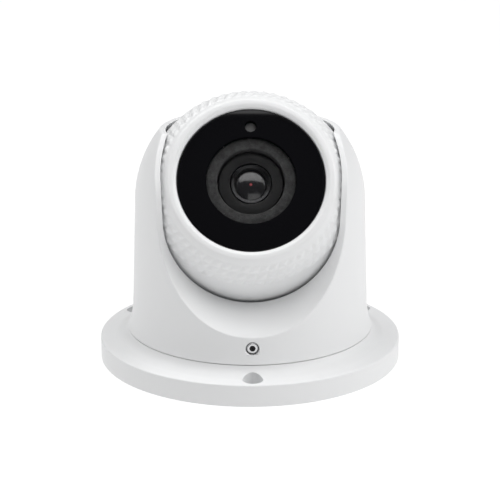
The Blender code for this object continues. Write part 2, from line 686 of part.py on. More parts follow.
def front_shell(material, parent):
    """Front of the ball: the bezel round the window and the band of small pyramids.

    It is turned, except that in the band each row of rings is turned on by a third of a column, so
    that the pyramids lean, and each cell of the grid rises to a point.
    """
    back_angle = math.acos(FRONT_SHELL_BACK / BALL_RADIUS)
    back = arc(BALL_RADIUS, back_angle, BAND_BACK, 3)
    band = arc(BALL_RADIUS, BAND_BACK, BAND_FRONT, BAND_ROWS)
    edge = BALL_RADIUS - 0.5 * MM
    ledge_back = LEDGE_FRONT - 0.9 * MM
    cavity_start = math.acos(ledge_back / SHELL_INNER)
    cavity_end = math.acos(FRONT_SHELL_BACK / SHELL_INNER)
    rest = [
        (chord(BALL_RADIUS, BEZEL_PLANE - 1.0 * MM), BEZEL_PLANE - 1.0 * MM),
        (chord(edge, BEZEL_PLANE - 0.2 * MM), BEZEL_PLANE - 0.2 * MM),
        (BEZEL_EDGE - 1.2 * MM, BEZEL_PLANE),
        (WINDOW_BORE + 0.3 * MM, BEZEL_PLANE - BEZEL_LIP + 0.1 * MM),
        (WINDOW_BORE, BEZEL_PLANE - BEZEL_LIP - 0.2 * MM),
        (WINDOW_BORE, LEDGE_FRONT),
        (WINDOW_BORE - WINDOW_LEDGE, LEDGE_FRONT),
        (WINDOW_BORE - WINDOW_LEDGE, ledge_back),
        *arc(SHELL_INNER, cavity_start, cavity_end, 4),
    ]
    rings = back[:-1] + band + rest
    first_band = len(back) - 1
    turns = around(BAND_COLUMNS)
    points = []
    for i, (r, z) in enumerate(rings):
        row = i - first_band
        lean = turns[1] / BAND_ROWS * row if 0 < row < BAND_ROWS else 0.0
        points += [Vector((r * math.cos(a + lean), r * math.sin(a + lean), z)) for a in turns]
    faces = []
    for i in range(len(rings)):
        here, there = i * BAND_COLUMNS, (i + 1) % len(rings) * BAND_COLUMNS
        row = i - first_band
        # the last row leans by a whole column, so it joins the next column along
        shift = 1 if row == BAND_ROWS - 1 else 0
        for j in range(BAND_COLUMNS):
            k = (j + 1) % BAND_COLUMNS
            cell = (here + j, here + k, there + (k + shift) % BAND_COLUMNS, there + (j + shift) % BAND_COLUMNS)
            if 0 <= row < BAND_ROWS:
                middle = sum((points[n] for n in cell), Vector()) / 4
                points.append(middle.normalized() * (BALL_RADIUS + PYRAMID_HEIGHT))
                tip = len(points) - 1
                faces += [(cell[n], cell[(n + 1) % 4], tip) for n in range(4)]
            else:
                faces.append(cell)
    return make_object("front_shell", points, faces, material, parent)


def shell_grommet(material, parent):
    """Rubber bush where the lead leaves the ball."""
    hole = SHELL_HOLE_RADIUS - GAP
    outside = -chord(BALL_RADIUS, hole)
    inside = -chord(SHELL_INNER, SHELL_HOLE_RADIUS) + 2 * GAP
    throat = 2.6 * MM
    outline = [
        (throat, outside),
        (hole, outside),
        (hole, inside),
        (hole + 1.5 * MM, inside),
        (hole + 1.5 * MM, inside + 1.2 * MM),
        (throat + 0.8 * MM, inside + 3.0 * MM),
        (throat, inside + 3.0 * MM),
    ]
    return turned("shell_grommet", outline, material, parent, SMALL_ROUND)


def front_window(material, parent):
    """Disc over the lens and lamps, with a small bevel."""
    bevel = 0.25 * MM
    outline = [
        (0.0, WINDOW_REAR),
        (WINDOW_RADIUS, WINDOW_REAR),
        (WINDOW_RADIUS, WINDOW_FRONT - bevel),
        (WINDOW_RADIUS - bevel, WINDOW_FRONT),
        (0.0, WINDOW_FRONT),
    ]
    return turned("front_window", outline, material, parent)


def window_gasket(material, parent):
    inner = WINDOW_BORE - WINDOW_LEDGE + GAP
    low = LEDGE_FRONT + GAP
    return tube("window_gasket", inner, WINDOW_RADIUS, low, low + GASKET_THICKNESS, material, parent)


# ---------------------------------------------------------------- lens and lamps


def lens_barrel(material, parent):
    """The lens's tube: a wide head behind the window and a threaded neck in the holder."""
    seat = LENS_FACE - 3.2 * MM
    trim_bore = TRIM_RADIUS + GAP
    bevel = 0.4 * MM
    outline = [
        (REAR_GLASS_RADIUS - 0.6 * MM, LENS_BACK),
        (LENS_THREAD_RADIUS, LENS_BACK),
        (LENS_THREAD_RADIUS, LENS_SHOULDER),
        (LENS_HEAD_RADIUS - 2.0 * MM, LENS_SHOULDER),
        (LENS_HEAD_RADIUS, LENS_SHOULDER + 2.0 * MM),
        (LENS_HEAD_RADIUS, LENS_FACE - bevel),
        (LENS_HEAD_RADIUS - bevel, LENS_FACE),
        (trim_bore, LENS_FACE),
        (trim_bore, LENS_FACE - 1.8 * MM),
        (GLASS_RADIUS + GAP, LENS_FACE - 1.8 * MM),
        (GLASS_RADIUS + GAP, seat),
        (GLASS_RADIUS - 0.8 * MM, seat),
        (REAR_GLASS_RADIUS + GAP, LENS_BACK + 3.4 * MM),
        (REAR_GLASS_RADIUS + GAP, LENS_BACK + 1.0 * MM),
        (REAR_GLASS_RADIUS - 0.6 * MM, LENS_BACK + 1.0 * MM),
    ]
    return turned("lens_barrel", outline, material, parent, MEDIUM_ROUND)


def lens_trim_ring(material, parent):
    low = LENS_FACE - 1.8 * MM + GAP
    inner = TRIM_RADIUS - TRIM_WIDTH
    outline = [
        (inner, low),
        (TRIM_RADIUS, low),
        (TRIM_RADIUS, low + 0.8 * MM),
        (TRIM_RADIUS - 0.4 * MM, low + 1.0 * MM),
        (inner, low + 0.6 * MM),
    ]
    return turned("lens_trim_ring", outline, material, parent, SMALL_ROUND)


def lens_front_element(material, parent):
    """The domed front glass."""
    seat = LENS_FACE - 3.2 * MM + GAP
    rim = 0.5 * MM
    sag = 1.1 * MM
    bend = (GLASS_RADIUS**2 + sag**2) / (2 * sag)
    dome = arc(bend, math.asin(GLASS_RADIUS / bend), 0.0, 4, (0.0, seat + rim + sag - bend))
    dome[-1] = (0.0, dome[-1][1])
    return turned("lens_front_element", [(0.0, seat), (GLASS_RADIUS, seat), *dome], material, parent)


def lens_rear_element(material, parent):
    low = LENS_BACK + 1.0 * MM + GAP
    outline = [
        (0.0, low - 0.4 * MM),
        (REAR_GLASS_RADIUS - 1.2 * MM, low),
        (REAR_GLASS_RADIUS, low),
        (REAR_GLASS_RADIUS, low + 1.4 * MM),
        (0.0, low + 1.4 * MM),
    ]
    return turned("lens_rear_element", outline, material, parent, SMALL_ROUND)


def light_shield(material, parent):
    """Soft ring from the lamp board to the window that keeps the lamps' light off the lens."""
    low, high = LED_BOARD_FRONT + GAP, WINDOW_REAR - GAP
    bevel = 0.5 * MM
    outline = [
        (SHIELD_INNER, low),
        (SHIELD_OUTER, low),
        (SHIELD_OUTER, high - bevel),
        (SHIELD_OUTER - bevel, high),
        (SHIELD_INNER + bevel, high),
        (SHIELD_INNER, high - bevel),
    ]
    return turned("light_shield", outline, material, parent, MEDIUM_ROUND)


def lens_holder(material, parent):
    """Square flange on the carrier with the threaded tube for the lens."""
    low = CARRIER_FRONT + GAP
    high = LENS_SHOULDER - GAP
    half = HOLDER_FLANGE / 2
    flange = block("lens_holder", (-half, -half, low), (half, half, low + 2.0 * MM), material, parent)
    collar = rod("holder_tube", HOLDER_BORE + HOLDER_WALL, low + 0.5 * MM, high, None, parent, MEDIUM_ROUND)
    bore = rod("holder_bore", HOLDER_BORE, low - FAR, high + FAR, None, parent, SMALL_ROUND)
    return cut(join_solids(flange, collar), bore)


def led_board(material, parent):
    """Ring-shaped board that carries the infrared lamps and the light sensor."""
    inner = LENS_HEAD_RADIUS + 0.6 * MM
    return tube("led_board", inner, LED_BOARD_RADIUS, LED_BOARD_BACK, LED_BOARD_FRONT, material, parent)


def infrared_lamps(material, parent):
    """The two lamps beside the lens: a square foot with a domed cap."""
    for side, name in ((-1, "infrared_lamp_left"), (1, "infrared_lamp_right")):
        low = LED_BOARD_FRONT + GAP
        dome = arc(LED_RADIUS, math.pi / 2, 0.0, 4, (0.0, low + 1.4 * MM))
        dome[-1] = (0.0, dome[-1][1])
        outline = [(0.0, low), (LED_FOOT, low), (LED_FOOT, low + 1.0 * MM), (LED_RADIUS, low + 1.4 * MM), *dome[1:]]
        lamp = turned(name, outline, material, parent, TINY_ROUND)
        lamp.location = (side * LED_OFFSET, 0.0, 0.0)


def light_sensor(material, parent):
    """Photocell above the lens, held up behind the window by its stem."""
    low, high = LED_BOARD_FRONT + GAP, WINDOW_REAR - 0.5 * MM
    stem = SENSOR_EYE_RADIUS - 0.9 * MM
    head = high - 2.6 * MM
    outline = [
        (0.0, low),
        (stem, low),
        (stem, head),
        (SENSOR_EYE_RADIUS, head),
        (SENSOR_EYE_RADIUS, high - 0.6 * MM),
        (SENSOR_EYE_RADIUS - 0.6 * MM, high),
        (0.0, high),
    ]
    eye = turned("light_sensor", outline, material, parent, TINY_ROUND)
    eye.location = (0.0, SENSOR_EYE_OFFSET, 0.0)
    return eye


# ---------------------------------------------------------------- frame and boards


def frame_screw_places():
    """The screws that hold the carrier on the neck, midway between the posts."""
    circle = NECK_RADIUS - NECK_WALL / 2 - 0.2 * MM
    return [(circle * math.cos(a), circle * math.sin(a)) for a in around(POSTS, -math.pi / 2)]


def post_places(circle):
    return [(circle * math.cos(a), circle * math.sin(a)) for a in around(POSTS, math.pi / 2)]


def carrier_frame(material, parent):
    """Metal plate across the ball. It holds everything inside and leads its heat to the shells."""
    hole = HOLDER_BORE + HOLDER_WALL
    rim = chord(SHELL_INNER, CARRIER_FRONT) - 2 * GAP
    plate = tube("carrier_frame", hole, rim, CARRIER_BACK, CARRIER_FRONT, material, parent)
    for number, place in enumerate(frame_screw_places(), 1):
        low, high = CARRIER_BACK - FAR, CARRIER_FRONT + FAR
        radius = FRAME_SCREW_SHANK + GAP
        cut(plate, rod(f"carrier_hole_{number}", radius, low, high, None, parent, 12, place))
    return plate


def frame_screws(material, parent):
    for number, place in enumerate(frame_screw_places(), 1):
        head_low = CARRIER_FRONT + GAP
        outline = [
            (0.0, NECK_FRONT - FRAME_SCREW_DEPTH),
            (FRAME_SCREW_SHANK, NECK_FRONT - FRAME_SCREW_DEPTH),
            (FRAME_SCREW_SHANK, head_low),
            (FRAME_SCREW_HEAD, head_low),
            (FRAME_SCREW_HEAD, head_low + 0.6 * MM),
            (0.0, head_low + 0.9 * MM),
        ]
        screw = turned(f"frame_screw_{number}", outline, material, parent, 12)
        screw.location = (*place, 0.0)


def board_posts(material, parent):
    """Pillars from the carrier to the boards in front of it and behind it."""
    front = post_places(LED_BOARD_RADIUS - POST_INSET)
    back = post_places(MAIN_BOARD_RADIUS - POST_INSET)
    for number in range(POSTS):
        low, high = CARRIER_FRONT + GAP, LED_BOARD_BACK - GAP
        name = f"lamp_post_{number + 1}"
        rod(name, LED_POST_RADIUS, low, high, material, parent, 12, front[number])
        low, high = MAIN_BOARD_FRONT + GAP, CARRIER_BACK - GAP
        name = f"board_post_{number + 1}"
        rod(name, POST_RADIUS, low, high, material, parent, 12, back[number])


def sensor_board(material, parent):
    half = SENSOR_BOARD_SIDE / 2
    low = SENSOR_BOARD_FRONT - BOARD_THICKNESS
    return block("sensor_board", (-half, -half, low), (half, half, SENSOR_BOARD_FRONT), material, parent)


def image_sensor(material, parent):
    low = SENSOR_BOARD_FRONT + GAP
    return block(
        "image_sensor",
        (-4.5 * MM, -3.6 * MM, low),
        (4.5 * MM, 3.6 * MM, low + 0.7 * MM),
        material,
        parent,
    )


def main_board(material, parent):
    """Round board with the processor and the power supply."""
    return rod("main_board", MAIN_BOARD_RADIUS, MAIN_BOARD_BACK, MAIN_BOARD_FRONT, material, parent, MEDIUM_ROUND)


def board_parts(chip_material, socket_material, parent):
    """The processor and the lead's socket behind the main board, and the plug between the boards."""
    half = 7.5 * MM
    top = MAIN_BOARD_BACK - GAP
    block("processor", (-half, 2 * MM, top - 1.5 * MM), (half, 2 * MM + 2 * half, top), chip_material, parent)
    block(
        "lead_socket",
        (-6.0 * MM, -14.0 * MM, top - 6.0 * MM),
        (6.0 * MM, -8.0 * MM, top),
        socket_material,
        parent,
    )
    low = MAIN_BOARD_FRONT + GAP
    high = SENSOR_BOARD_FRONT - BOARD_THICKNESS - GAP
    block("board_link", (-8.0 * MM, -14.0 * MM, low), (8.0 * MM, -10.0 * MM, high), socket_material, parent)


# ---------------------------------------------------------------- day and night filter


def filter_layers():
    """Front faces of the lever and of the sliding frame, counted back from the housing's roof."""
    lever = HOUSING_FRONT - HOUSING_ROOF - GAP
    frame = lever - FILTER_THICKNESS - GAP
    return lever, frame


def filter_size():
    """Half length of the sliding frame, and its lowest and highest Y."""
    half = FILTER_TRAVEL / 2 + FILTER_APERTURE / 2 + FILTER_RIM
    low = -FILTER_APERTURE / 2 - FILTER_RIM
    return half, low, -low + FILTER_TAIL


def filter_housing(material, parent):
    """Tray over the image sensor that the filter's frame slides in."""
    half, low, high = filter_size()
    reach = half + FILTER_TRAVEL / 2 + GAP
    wall = HOUSING_WALL
    tray = block(
        "filter_housing",
        (-reach - wall, low - GAP - wall, HOUSING_BACK),
        (reach + wall, high + wall, HOUSING_FRONT),
        material,
        parent,
    )
    pocket = block(
        "housing_pocket",
        (-reach, low - GAP, HOUSING_BACK - FAR),
        (reach, high + wall + FAR, HOUSING_FRONT - HOUSING_ROOF),
        None,
        parent,
    )
    light = rod("housing_window", FILTER_APERTURE / 2, HOUSING_BACK, HOUSING_FRONT + FAR, None, parent)
    return cut(tray, pocket, light)


def filter_frame(material, parent):
    """Slide with two windows, one filtered and one clear. Its frame is centred on the slide."""
    half, low, high = filter_size()
    top = filter_layers()[1]
    bottom = top - FILTER_THICKNESS
    slide = block("filter_frame", (-half, low, bottom), (half, high, top), material, parent)
    side = FILTER_APERTURE / 2
    for number, centre in enumerate((-FILTER_TRAVEL / 2, FILTER_TRAVEL / 2), 1):
        corner = (centre - side, -side, bottom - FAR)
        cut(slide, block(f"filter_hole_{number}", corner, (centre + side, side, top + FAR), None, parent))
    # the pin's height in the slot changes by this much as the lever swings
    rise = LEVER_LENGTH * (1 - math.cos(LEVER_SWING / 2))
    slot_low = LEVER_PIVOT_Y - LEVER_LENGTH - SLOT_HALF - GAP
    slot_high = slot_low + 2 * SLOT_HALF + 2 * GAP + rise
    low, high = (-SLOT_HALF, slot_low, bottom - FAR), (SLOT_HALF, slot_high, top + FAR)
    cut(slide, block("pin_slot", low, high, None, parent))
    return slide


def filter_glass(material, parent):
    side = FILTER_APERTURE / 2 - GAP
    centre = FILTER_TRAVEL / 2
    top = filter_layers()[1] - 0.1 * MM
    low = (centre - side, -side, top - 0.5 * MM)
    return block("filter_glass", low, (centre + side, side, top), material, parent)


def filter_lever(material, parent):
    """Arm from the coil to the slide, with a pin in the slide's slot. It hangs down along -Y."""
    top = filter_layers()[0]
    bottom = top - FILTER_THICKNESS
    half = LEVER_WIDTH / 2
    arm = block("filter_lever", (-half, -LEVER_LENGTH, bottom), (half, 0.0, top), material, parent)
    hub = rod("lever_hub", LEVER_HUB_RADIUS, bottom, top, None, parent)
    pin = rod(
        "lever_pin",
        LEVER_PIN_RADIUS,
        bottom - FILTER_THICKNESS - 2 * GAP,
        top - 0.1 * MM,
        None,
        parent,
        12,
        (0.0, -LEVER_LENGTH),
    )
    boss = rod("lever_end", half, bottom, top, None, parent, TINY_ROUND, (0.0, -LEVER_LENGTH))
    return join_solids(arm, hub, boss, pin)


def filter_coil(material, parent):
    """The coil that swings the lever."""
    top = filter_layers()[0] - FILTER_THICKNESS - GAP
    low = SENSOR_BOARD_FRONT + GAP
    place = (0.0, LEVER_PIVOT_Y)
    return rod("filter_coil", LEVER_HUB_RADIUS + 0.6 * MM, low, top, material, parent, SMALL_ROUND, place)


def build():
    clear_scene()
    white = finish("white_shell", (0.86, 0.86, 0.86), 0.42)
    white_plate = finish("white_plate", (0.86, 0.86, 0.86), 0.42)
    rubber = finish("black_rubber", (0.03, 0.03, 0.03), 0.8)
    steel = finish("bright_steel", (0.62, 0.62, 0.63), 0.3, 1.0)
    slippery = finish("pale_plastic", (0.75, 0.75, 0.72), 0.5)
    cast = finish("cast_aluminium", (0.55, 0.56, 0.57), 0.45, 1.0)
    dark_glass = finish("dark_window", (0.01, 0.01, 0.01), 0.05)
    dark = finish("black_plastic", (0.02, 0.02, 0.02), 0.45)
    glass = finish("lens_glass", (0.05, 0.05, 0.06), 0.03)
    foam = finish("grey_foam", (0.08, 0.08, 0.08), 0.9)
    board = finish("green_board", (0.03, 0.16, 0.08), 0.5)
    clear = finish("clear_resin", (0.7, 0.7, 0.68), 0.1)
    copper = finish("copper_coil", (0.7, 0.35, 0.2), 0.35, 1.0)

    base = empty("plate_centre")
    mounting_base(white_plate, base)
    base_pad(foam, base)
    cable_gland(rubber, base)
    snap_ring(steel, base)

    pan = empty("pan_axis", parent=base)
    opening = opening_cutter(pan)
    shroud(white, pan, opening)
    ball_cup(white, pan, opening)
    friction_ring(rubber, pan)
    slip_washer(slippery, pan)
    screw_line = empty("lock_screw_axis", (0, 0, LOCK_HEIGHT), (math.pi / 2, 0, 0), pan)
    brake_shoe(slippery, screw_line)
    lock_screw(steel, screw_line)

    turn = (math.pi / 2 - REST_TILT, 0, 0)
    tilt = empty("tilt_axis", (0, 0, BALL_HEIGHT), turn, pan)
    swivel_ring(slippery, tilt)

    ball = empty("optical_axis", parent=tilt)
    rear_shell(white, ball)
    front_shell(white, ball)
    shell_seal(rubber, ball)
    shell_grommet(rubber, ball)
    front_window(dark_glass, ball)
    window_gasket(rubber, ball)
    lens_barrel(dark, ball)
    lens_trim_ring(dark, ball)
    lens_front_element(glass, ball)
    lens_rear_element(glass, ball)
    light_shield(foam, ball)
    lens_holder(dark, ball)
    led_board(board, ball)
    infrared_lamps(clear, ball)
    light_sensor(clear, ball)
    carrier_frame(cast, ball)
    frame_screws(steel, ball)
    board_posts(steel, ball)
    sensor_board(board, ball)
    image_sensor(dark, ball)
    main_board(board, ball)
    board_parts(dark, slippery, ball)
    filter_housing(dark, ball)
    filter_coil(copper, ball)

    slide = empty("filter_slide", (-FILTER_TRAVEL / 2, 0, 0), parent=ball)
    filter_frame(dark, slide)
    filter_glass(glass, slide)
    pivot = empty("lever_pivot", (0, LEVER_PIVOT_Y, 0), (0, 0, -LEVER_SWING / 2), ball)
    filter_lever(slippery, pivot)
    bpy.context.view_layer.update()


build()
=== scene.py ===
"""The finished look of a turret camera: a ball with a lens in it, in a shroud on a round plate.

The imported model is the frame: every piece here is made round it, in metres. The plate lies on
Z = 0, the ball's centre is on the Z axis, and the camera looks towards -Y and up.
"""

import json
import logging
import math
from dataclasses import dataclass, field
from enum import Enum
from typing import Any, Union

import bmesh
import bpy
import numpy as np
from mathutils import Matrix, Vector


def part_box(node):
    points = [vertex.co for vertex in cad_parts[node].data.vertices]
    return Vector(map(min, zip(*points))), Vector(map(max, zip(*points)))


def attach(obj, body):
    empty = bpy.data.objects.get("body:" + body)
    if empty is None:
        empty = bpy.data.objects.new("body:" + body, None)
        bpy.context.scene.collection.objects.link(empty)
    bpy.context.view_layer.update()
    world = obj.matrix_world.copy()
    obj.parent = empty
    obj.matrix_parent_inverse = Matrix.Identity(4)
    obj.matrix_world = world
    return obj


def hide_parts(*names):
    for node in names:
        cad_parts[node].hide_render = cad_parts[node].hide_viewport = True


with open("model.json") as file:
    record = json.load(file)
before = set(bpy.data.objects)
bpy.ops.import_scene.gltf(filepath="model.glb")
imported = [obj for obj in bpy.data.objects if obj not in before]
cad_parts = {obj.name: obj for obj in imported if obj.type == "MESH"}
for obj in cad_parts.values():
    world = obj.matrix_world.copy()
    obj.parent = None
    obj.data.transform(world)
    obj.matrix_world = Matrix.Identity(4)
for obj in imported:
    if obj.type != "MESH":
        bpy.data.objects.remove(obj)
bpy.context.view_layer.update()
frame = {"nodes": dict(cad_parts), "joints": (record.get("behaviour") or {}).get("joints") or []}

LOG = logging.getLogger("turret")
MM = 0.001
GAP = 0.3 * MM
Array = np.ndarray
Number = Union[float, "Reading"]


# ---------------------------------------------------------------- shader nodes


class Reading:
    """A number that changes over a surface. Arithmetic on it adds Math nodes."""

    def __init__(self, paint: "Paint", socket: bpy.types.NodeSocket) -> None:
        """Wraps a socket.

        Args:
            paint: the material that the socket belongs to.
            socket: the output to read.
        """
        self.paint = paint
        self.socket = socket

    def math(self, operation: str, *others: Number, clamp: bool = False) -> "Reading":
        """Adds a Math node with this number first.

        Args:
            operation: the node's operation.
            others: the numbers that follow.
            clamp: keeps the result between 0 and 1.

        Returns:
            The node's result.
        """
        return self.paint.math(operation, self, *others, clamp=clamp)

    def __add__(self, other: Number) -> "Reading":
        """Returns self + other."""
        return self.math("ADD", other)

    __radd__ = __add__

    def __sub__(self, other: Number) -> "Reading":
        """Returns self - other."""
        return self.math("SUBTRACT", other)

    def __rsub__(self, other: float) -> "Reading":
        """Returns other - self."""
        return self.paint.math("SUBTRACT", other, self)

    def __mul__(self, other: Number) -> "Reading":
        """Returns self * other."""
        return self.math("MULTIPLY", other)

    __rmul__ = __mul__

    def __truediv__(self, other: Number) -> "Reading":
        """Returns self / other."""
        return self.math("DIVIDE", other)

    def __pow__(self, other: Number) -> "Reading":
        """Returns self to the power of other."""
        return self.math("POWER", other)

    def above(self, edge: float, width: float) -> "Reading":
        """A mask that is 0 below the edge and 1 above it, over a soft width.

        Args:
            edge: the number at the middle of the step.
            width: how wide the step is.

        Returns:
            clamp((self - edge) / width + 1/2).
        """
        return ((self - edge) / width).math("ADD", 0.5, clamp=True)


class Paint:
    """A material while its nodes are put together."""

    def __init__(self, name: str) -> None:
        """Starts an empty material.

        Args:
            name: the material's name.
        """
        self.material = bpy.data.materials.new(name)
        self.material.use_nodes = True
        self.tree = self.material.node_tree
        self.tree.nodes.clear()

    def add(self, kind: str, settings: dict[str, Any], sockets: dict[Any, Any]) -> bpy.types.Node:
        """Adds a node.

        Args:
            kind: the node's type.
            settings: attributes that are set first; "stops" holds a ramp's (place, colour) pairs.
            sockets: values, sockets or readings by the input's name or number.

        Returns:
            The node.
        """
        node = self.tree.nodes.new(kind)
        for name, value in settings.items():
            if name == "stops":
                while len(node.color_ramp.elements) < len(value):
                    node.color_ramp.elements.new(1.0)
                for element, (place, colour) in zip(node.color_ramp.elements, value):
                    element.position = place
                    element.color = (*colour, 1.0)
            else:
                setattr(node, name, value)
        for name, value in sockets.items():
            if isinstance(value, Reading):
                value = value.socket
            if isinstance(value, bpy.types.NodeSocket):
                self.tree.links.new(value, node.inputs[name])
            elif isinstance(value, tuple) and node.inputs[name].type == "RGBA":
                node.inputs[name].default_value = (*value[:3], 1.0)
            else:
                node.inputs[name].default_value = value
        return node

    def math(self, operation: str, *values: Number, clamp: bool = False) -> Reading:
        """Adds a Math node.

        Args:
            operation: the node's operation.
            values: its inputs in order.
            clamp: keeps the result between 0 and 1.

        Returns:
            The node's result.
        """
        settings = {"operation": operation, "use_clamp": clamp}
        node = self.add("ShaderNodeMath", settings, dict(enumerate(values)))
        return Reading(self, node.outputs[0])

    def place(self, axis: "Axis | None" = None) -> bpy.types.NodeSocket:
        """Object coordinates, turned into an axis's own frame if one is given.

        Args:
            axis: the frame to measure in.

        Returns:
            The coordinates' socket.
        """
        place = self.add("ShaderNodeTexCoord", {}, {}).outputs["Object"]
        if axis is None:
            return place
        sockets = {"Vector": place, "Location": tuple(axis.origin), "Rotation": (axis.lean, 0.0, 0.0)}
        return self.add("ShaderNodeMapping", {"vector_type": "TEXTURE"}, sockets).outputs[0]

    def parts(self, vector: bpy.types.NodeSocket) -> tuple[Reading, Reading, Reading]:
        """Splits a vector.

        Args:
            vector: the vector's socket.

        Returns:
            Its X, Y and Z.
        """
        node = self.add("ShaderNodeSeparateXYZ", {}, {0: vector})
        return tuple(Reading(self, out) for out in node.outputs)

    def radius(self, axis: "Axis") -> Reading:
        """Distance from an axis, sqrt(x^2 + y^2) in the axis's own frame.

        Args:
            axis: the axis.

        Returns:
            The distance in metres.
        """
        x, y, _ = self.parts(self.place(axis))
        return (x * x + y * y) ** 0.5

    def noise(
        self, place: bpy.types.NodeSocket, size: float, detail: float = 2.0, rough: float = 0.5
    ) -> Reading:
        """Soft noise between about 0 and 1.

        Args:
            place: the coordinates.
            size: the size of a blotch in metres.
            detail: how many finer layers are added.
            rough: how strong the finer layers are.

        Returns:
            The noise.
        """
        sockets = {"Vector": place, "Scale": 1.0 / size, "Detail": detail, "Roughness": rough}
        return Reading(self, self.add("ShaderNodeTexNoise", {}, sockets).outputs[0])

    def blend(self, mask: Reading, low: Any, high: Any) -> bpy.types.NodeSocket:
        """Mixes two colours.

        Args:
            mask: 0 for the first colour and 1 for the second.
            low: the first colour, or its socket.
            high: the second colour, or its socket.

        Returns:
            The mixed colour's socket.
        """
        node = self.add("ShaderNodeMix", {"data_type": "RGBA"}, {0: mask, 6: low, 7: high})
        return node.outputs[2]

    def bump(self, height: Reading, distance: float, strength: float = 1.0) -> bpy.types.NodeSocket:
        """A normal bent by a height.

        Args:
            height: the height between 0 and 1.
            distance: what a height of 1 means in metres.
            strength: how much of the bump is used.

        Returns:
            The normal's socket.
        """
        sockets = {"Strength": strength, "Distance": distance, "Height": height}
        return self.add("ShaderNodeBump", {}, sockets).outputs[0]

    def surface(self, **sockets: Any) -> bpy.types.Material:
        """Finishes the material with one Principled surface.

        Args:
            sockets: values or links, with the socket's name in lower case and underscores.

        Returns:
            The material.
        """
        named = {name.replace("_", " ").title().replace("Ior", "IOR"): v for name, v in sockets.items()}
        shader = self.add("ShaderNodeBsdfPrincipled", {}, named)
        self.add("ShaderNodeOutputMaterial", {}, {"Surface": shader.outputs[0]})
        return self.material


# ---------------------------------------------------------------- axes and meshes


@dataclass(frozen=True)
class Extent:
    """How far a node reaches from an axis and along it."""

    inner: float
    outer: float
    low: float
    high: float


@dataclass(frozen=True)
class Axis:
    """A frame with its origin on an axis, leaning from the vertical towards -Y."""

    origin: tuple[float, float, float]
    lean: float

    def matrix(self) -> Array:
        """Columns are the frame's X, Y and Z in the world."""
        c, s = math.cos(self.lean), math.sin(self.lean)
        return np.array([[1, 0, 0], [0, c, -s], [0, s, c]])

    def world(self, points: Array) -> Array:
        """Points of this frame in the world."""
        return points @ self.matrix().T + np.array(self.origin)

    def local(self, points: Array) -> Array:
        """Points of the world in this frame."""
        return (points - np.array(self.origin)) @ self.matrix()

    def extent(self, node: str) -> Extent:
        """Measures a CAD node.

        Args:
            node: the node's name.

        Returns:
            Its least and greatest distance from the axis and place along it.
        """
        mesh = frame["nodes"][node].data
        points = np.empty(len(mesh.vertices) * 3)
        mesh.vertices.foreach_get("co", points)
        points = self.local(points.reshape(-1, 3))
        away = np.hypot(points[:, 0], points[:, 1])
        return Extent(away.min(), away.max(), points[:, 2].min(), points[:, 2].max())


def joint_place(name: str) -> tuple[float, float, float]:
    """Where a joint's axis passes.

    Args:
        name: the joint's name.

    Returns:
        The point in metres.
    """
    return next(tuple(j["pos_m"]) for j in frame["joints"] if j["name"] == name)


def joint_axis(name: str) -> tuple[float, float, float]:
    """The direction of a joint's axis.

    Args:
        name: the joint's name.

    Returns:
        The unit vector.
    """
    return next(tuple(j["axis"]) for j in frame["joints"] if j["name"] == name)


PAN = Axis((0.0, 0.0, 0.0), 0.0)
BALL = Axis(joint_place("tilt"), 0.0)
LENS = Axis(joint_place("roll"), math.acos(joint_axis("roll")[2]))
LOCK = Axis((0.0, 0.0, joint_place("lock_turn")[2]), math.pi / 2)


def off_axis(node: str, side: int) -> Axis:
    """The axis of a node that stands beside the optical axis and along it.

    Args:
        node: the node's name.
        side: 0 where it stands to the side of the optical axis, 1 where it stands above it.

    Returns:
        The node's axis.
    """
    low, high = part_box(node)
    place = np.zeros(3)
    place[side] = LENS.local(np.array((low + high) / 2))[side]
    return Axis(tuple(LENS.world(place)), LENS.lean)


def surface_faces(rows: int, columns: int, loop: bool) -> Array:
    """Quads of a grid that closes on itself along its columns, and along its rows if loop is true.

    Args:
        rows: how many rings.
        columns: how many points in each ring.
        loop: joins the last ring to the first.

    Returns:
        An array of four point numbers for each face.
    """
    i, j = np.meshgrid(np.arange(rows if loop else rows - 1), np.arange(columns), indexing="ij")
    up, on = (i + 1) % rows, (j + 1) % columns
    corners = [i * columns + j, i * columns + on, up * columns + on, up * columns + j]
    return np.stack(corners, axis=-1).reshape(-1, 4)


def make_piece(name: str, points: Array, faces: Array, sharp: float = 32.0) -> bpy.types.Object:
    """Puts points and faces into an object with closed seams and outward faces.

    Args:
        name: the object's name.
        points: an array of points in metres.
        faces: an array of point numbers.
        sharp: an edge that turns by more than this many degrees is shaded sharp.

    Returns:
        The object.
    """
    mesh = bpy.data.meshes.new(name)
    mesh.from_pydata(points.reshape(-1, 3), [], faces.tolist())
    shape = bmesh.new()
    shape.from_mesh(mesh)
    bmesh.ops.remove_doubles(shape, verts=shape.verts, dist=1e-7)
    bmesh.ops.recalc_face_normals(shape, faces=shape.faces)
    shape.to_mesh(mesh)
    shape.free()
    mesh.shade_smooth()
    mesh.set_sharp_from_angle(angle=math.radians(sharp))
    piece = bpy.data.objects.new(name, mesh)
    bpy.context.scene.collection.objects.link(piece)
    return piece


def lathe(name: str, outline: Array, axis: Axis, count: int = 192, sharp: float = 32.0) -> bpy.types.Object:
    """A turned piece: each (r, z) of a closed outline goes to (r cos a, r sin a, z).

    Args:
        name: the object's name.
        outline: the outline's points, which close on themselves.
        axis: the axis it is turned about.
        count: how many steps go round.
        sharp: the angle in degrees past which an edge is shaded sharp.

    Returns:
        The object.
    """
    turn = np.linspace(0.0, 2 * np.pi, count, endpoint=False)
    r, z = outline[:, :1], outline[:, 1:]
    grid = np.stack([r * np.cos(turn), r * np.sin(turn), z + 0 * turn], axis=-1)
    faces = surface_faces(len(outline), count, True)
    return make_piece(name, axis.world(grid.reshape(-1, 3)), faces, sharp)


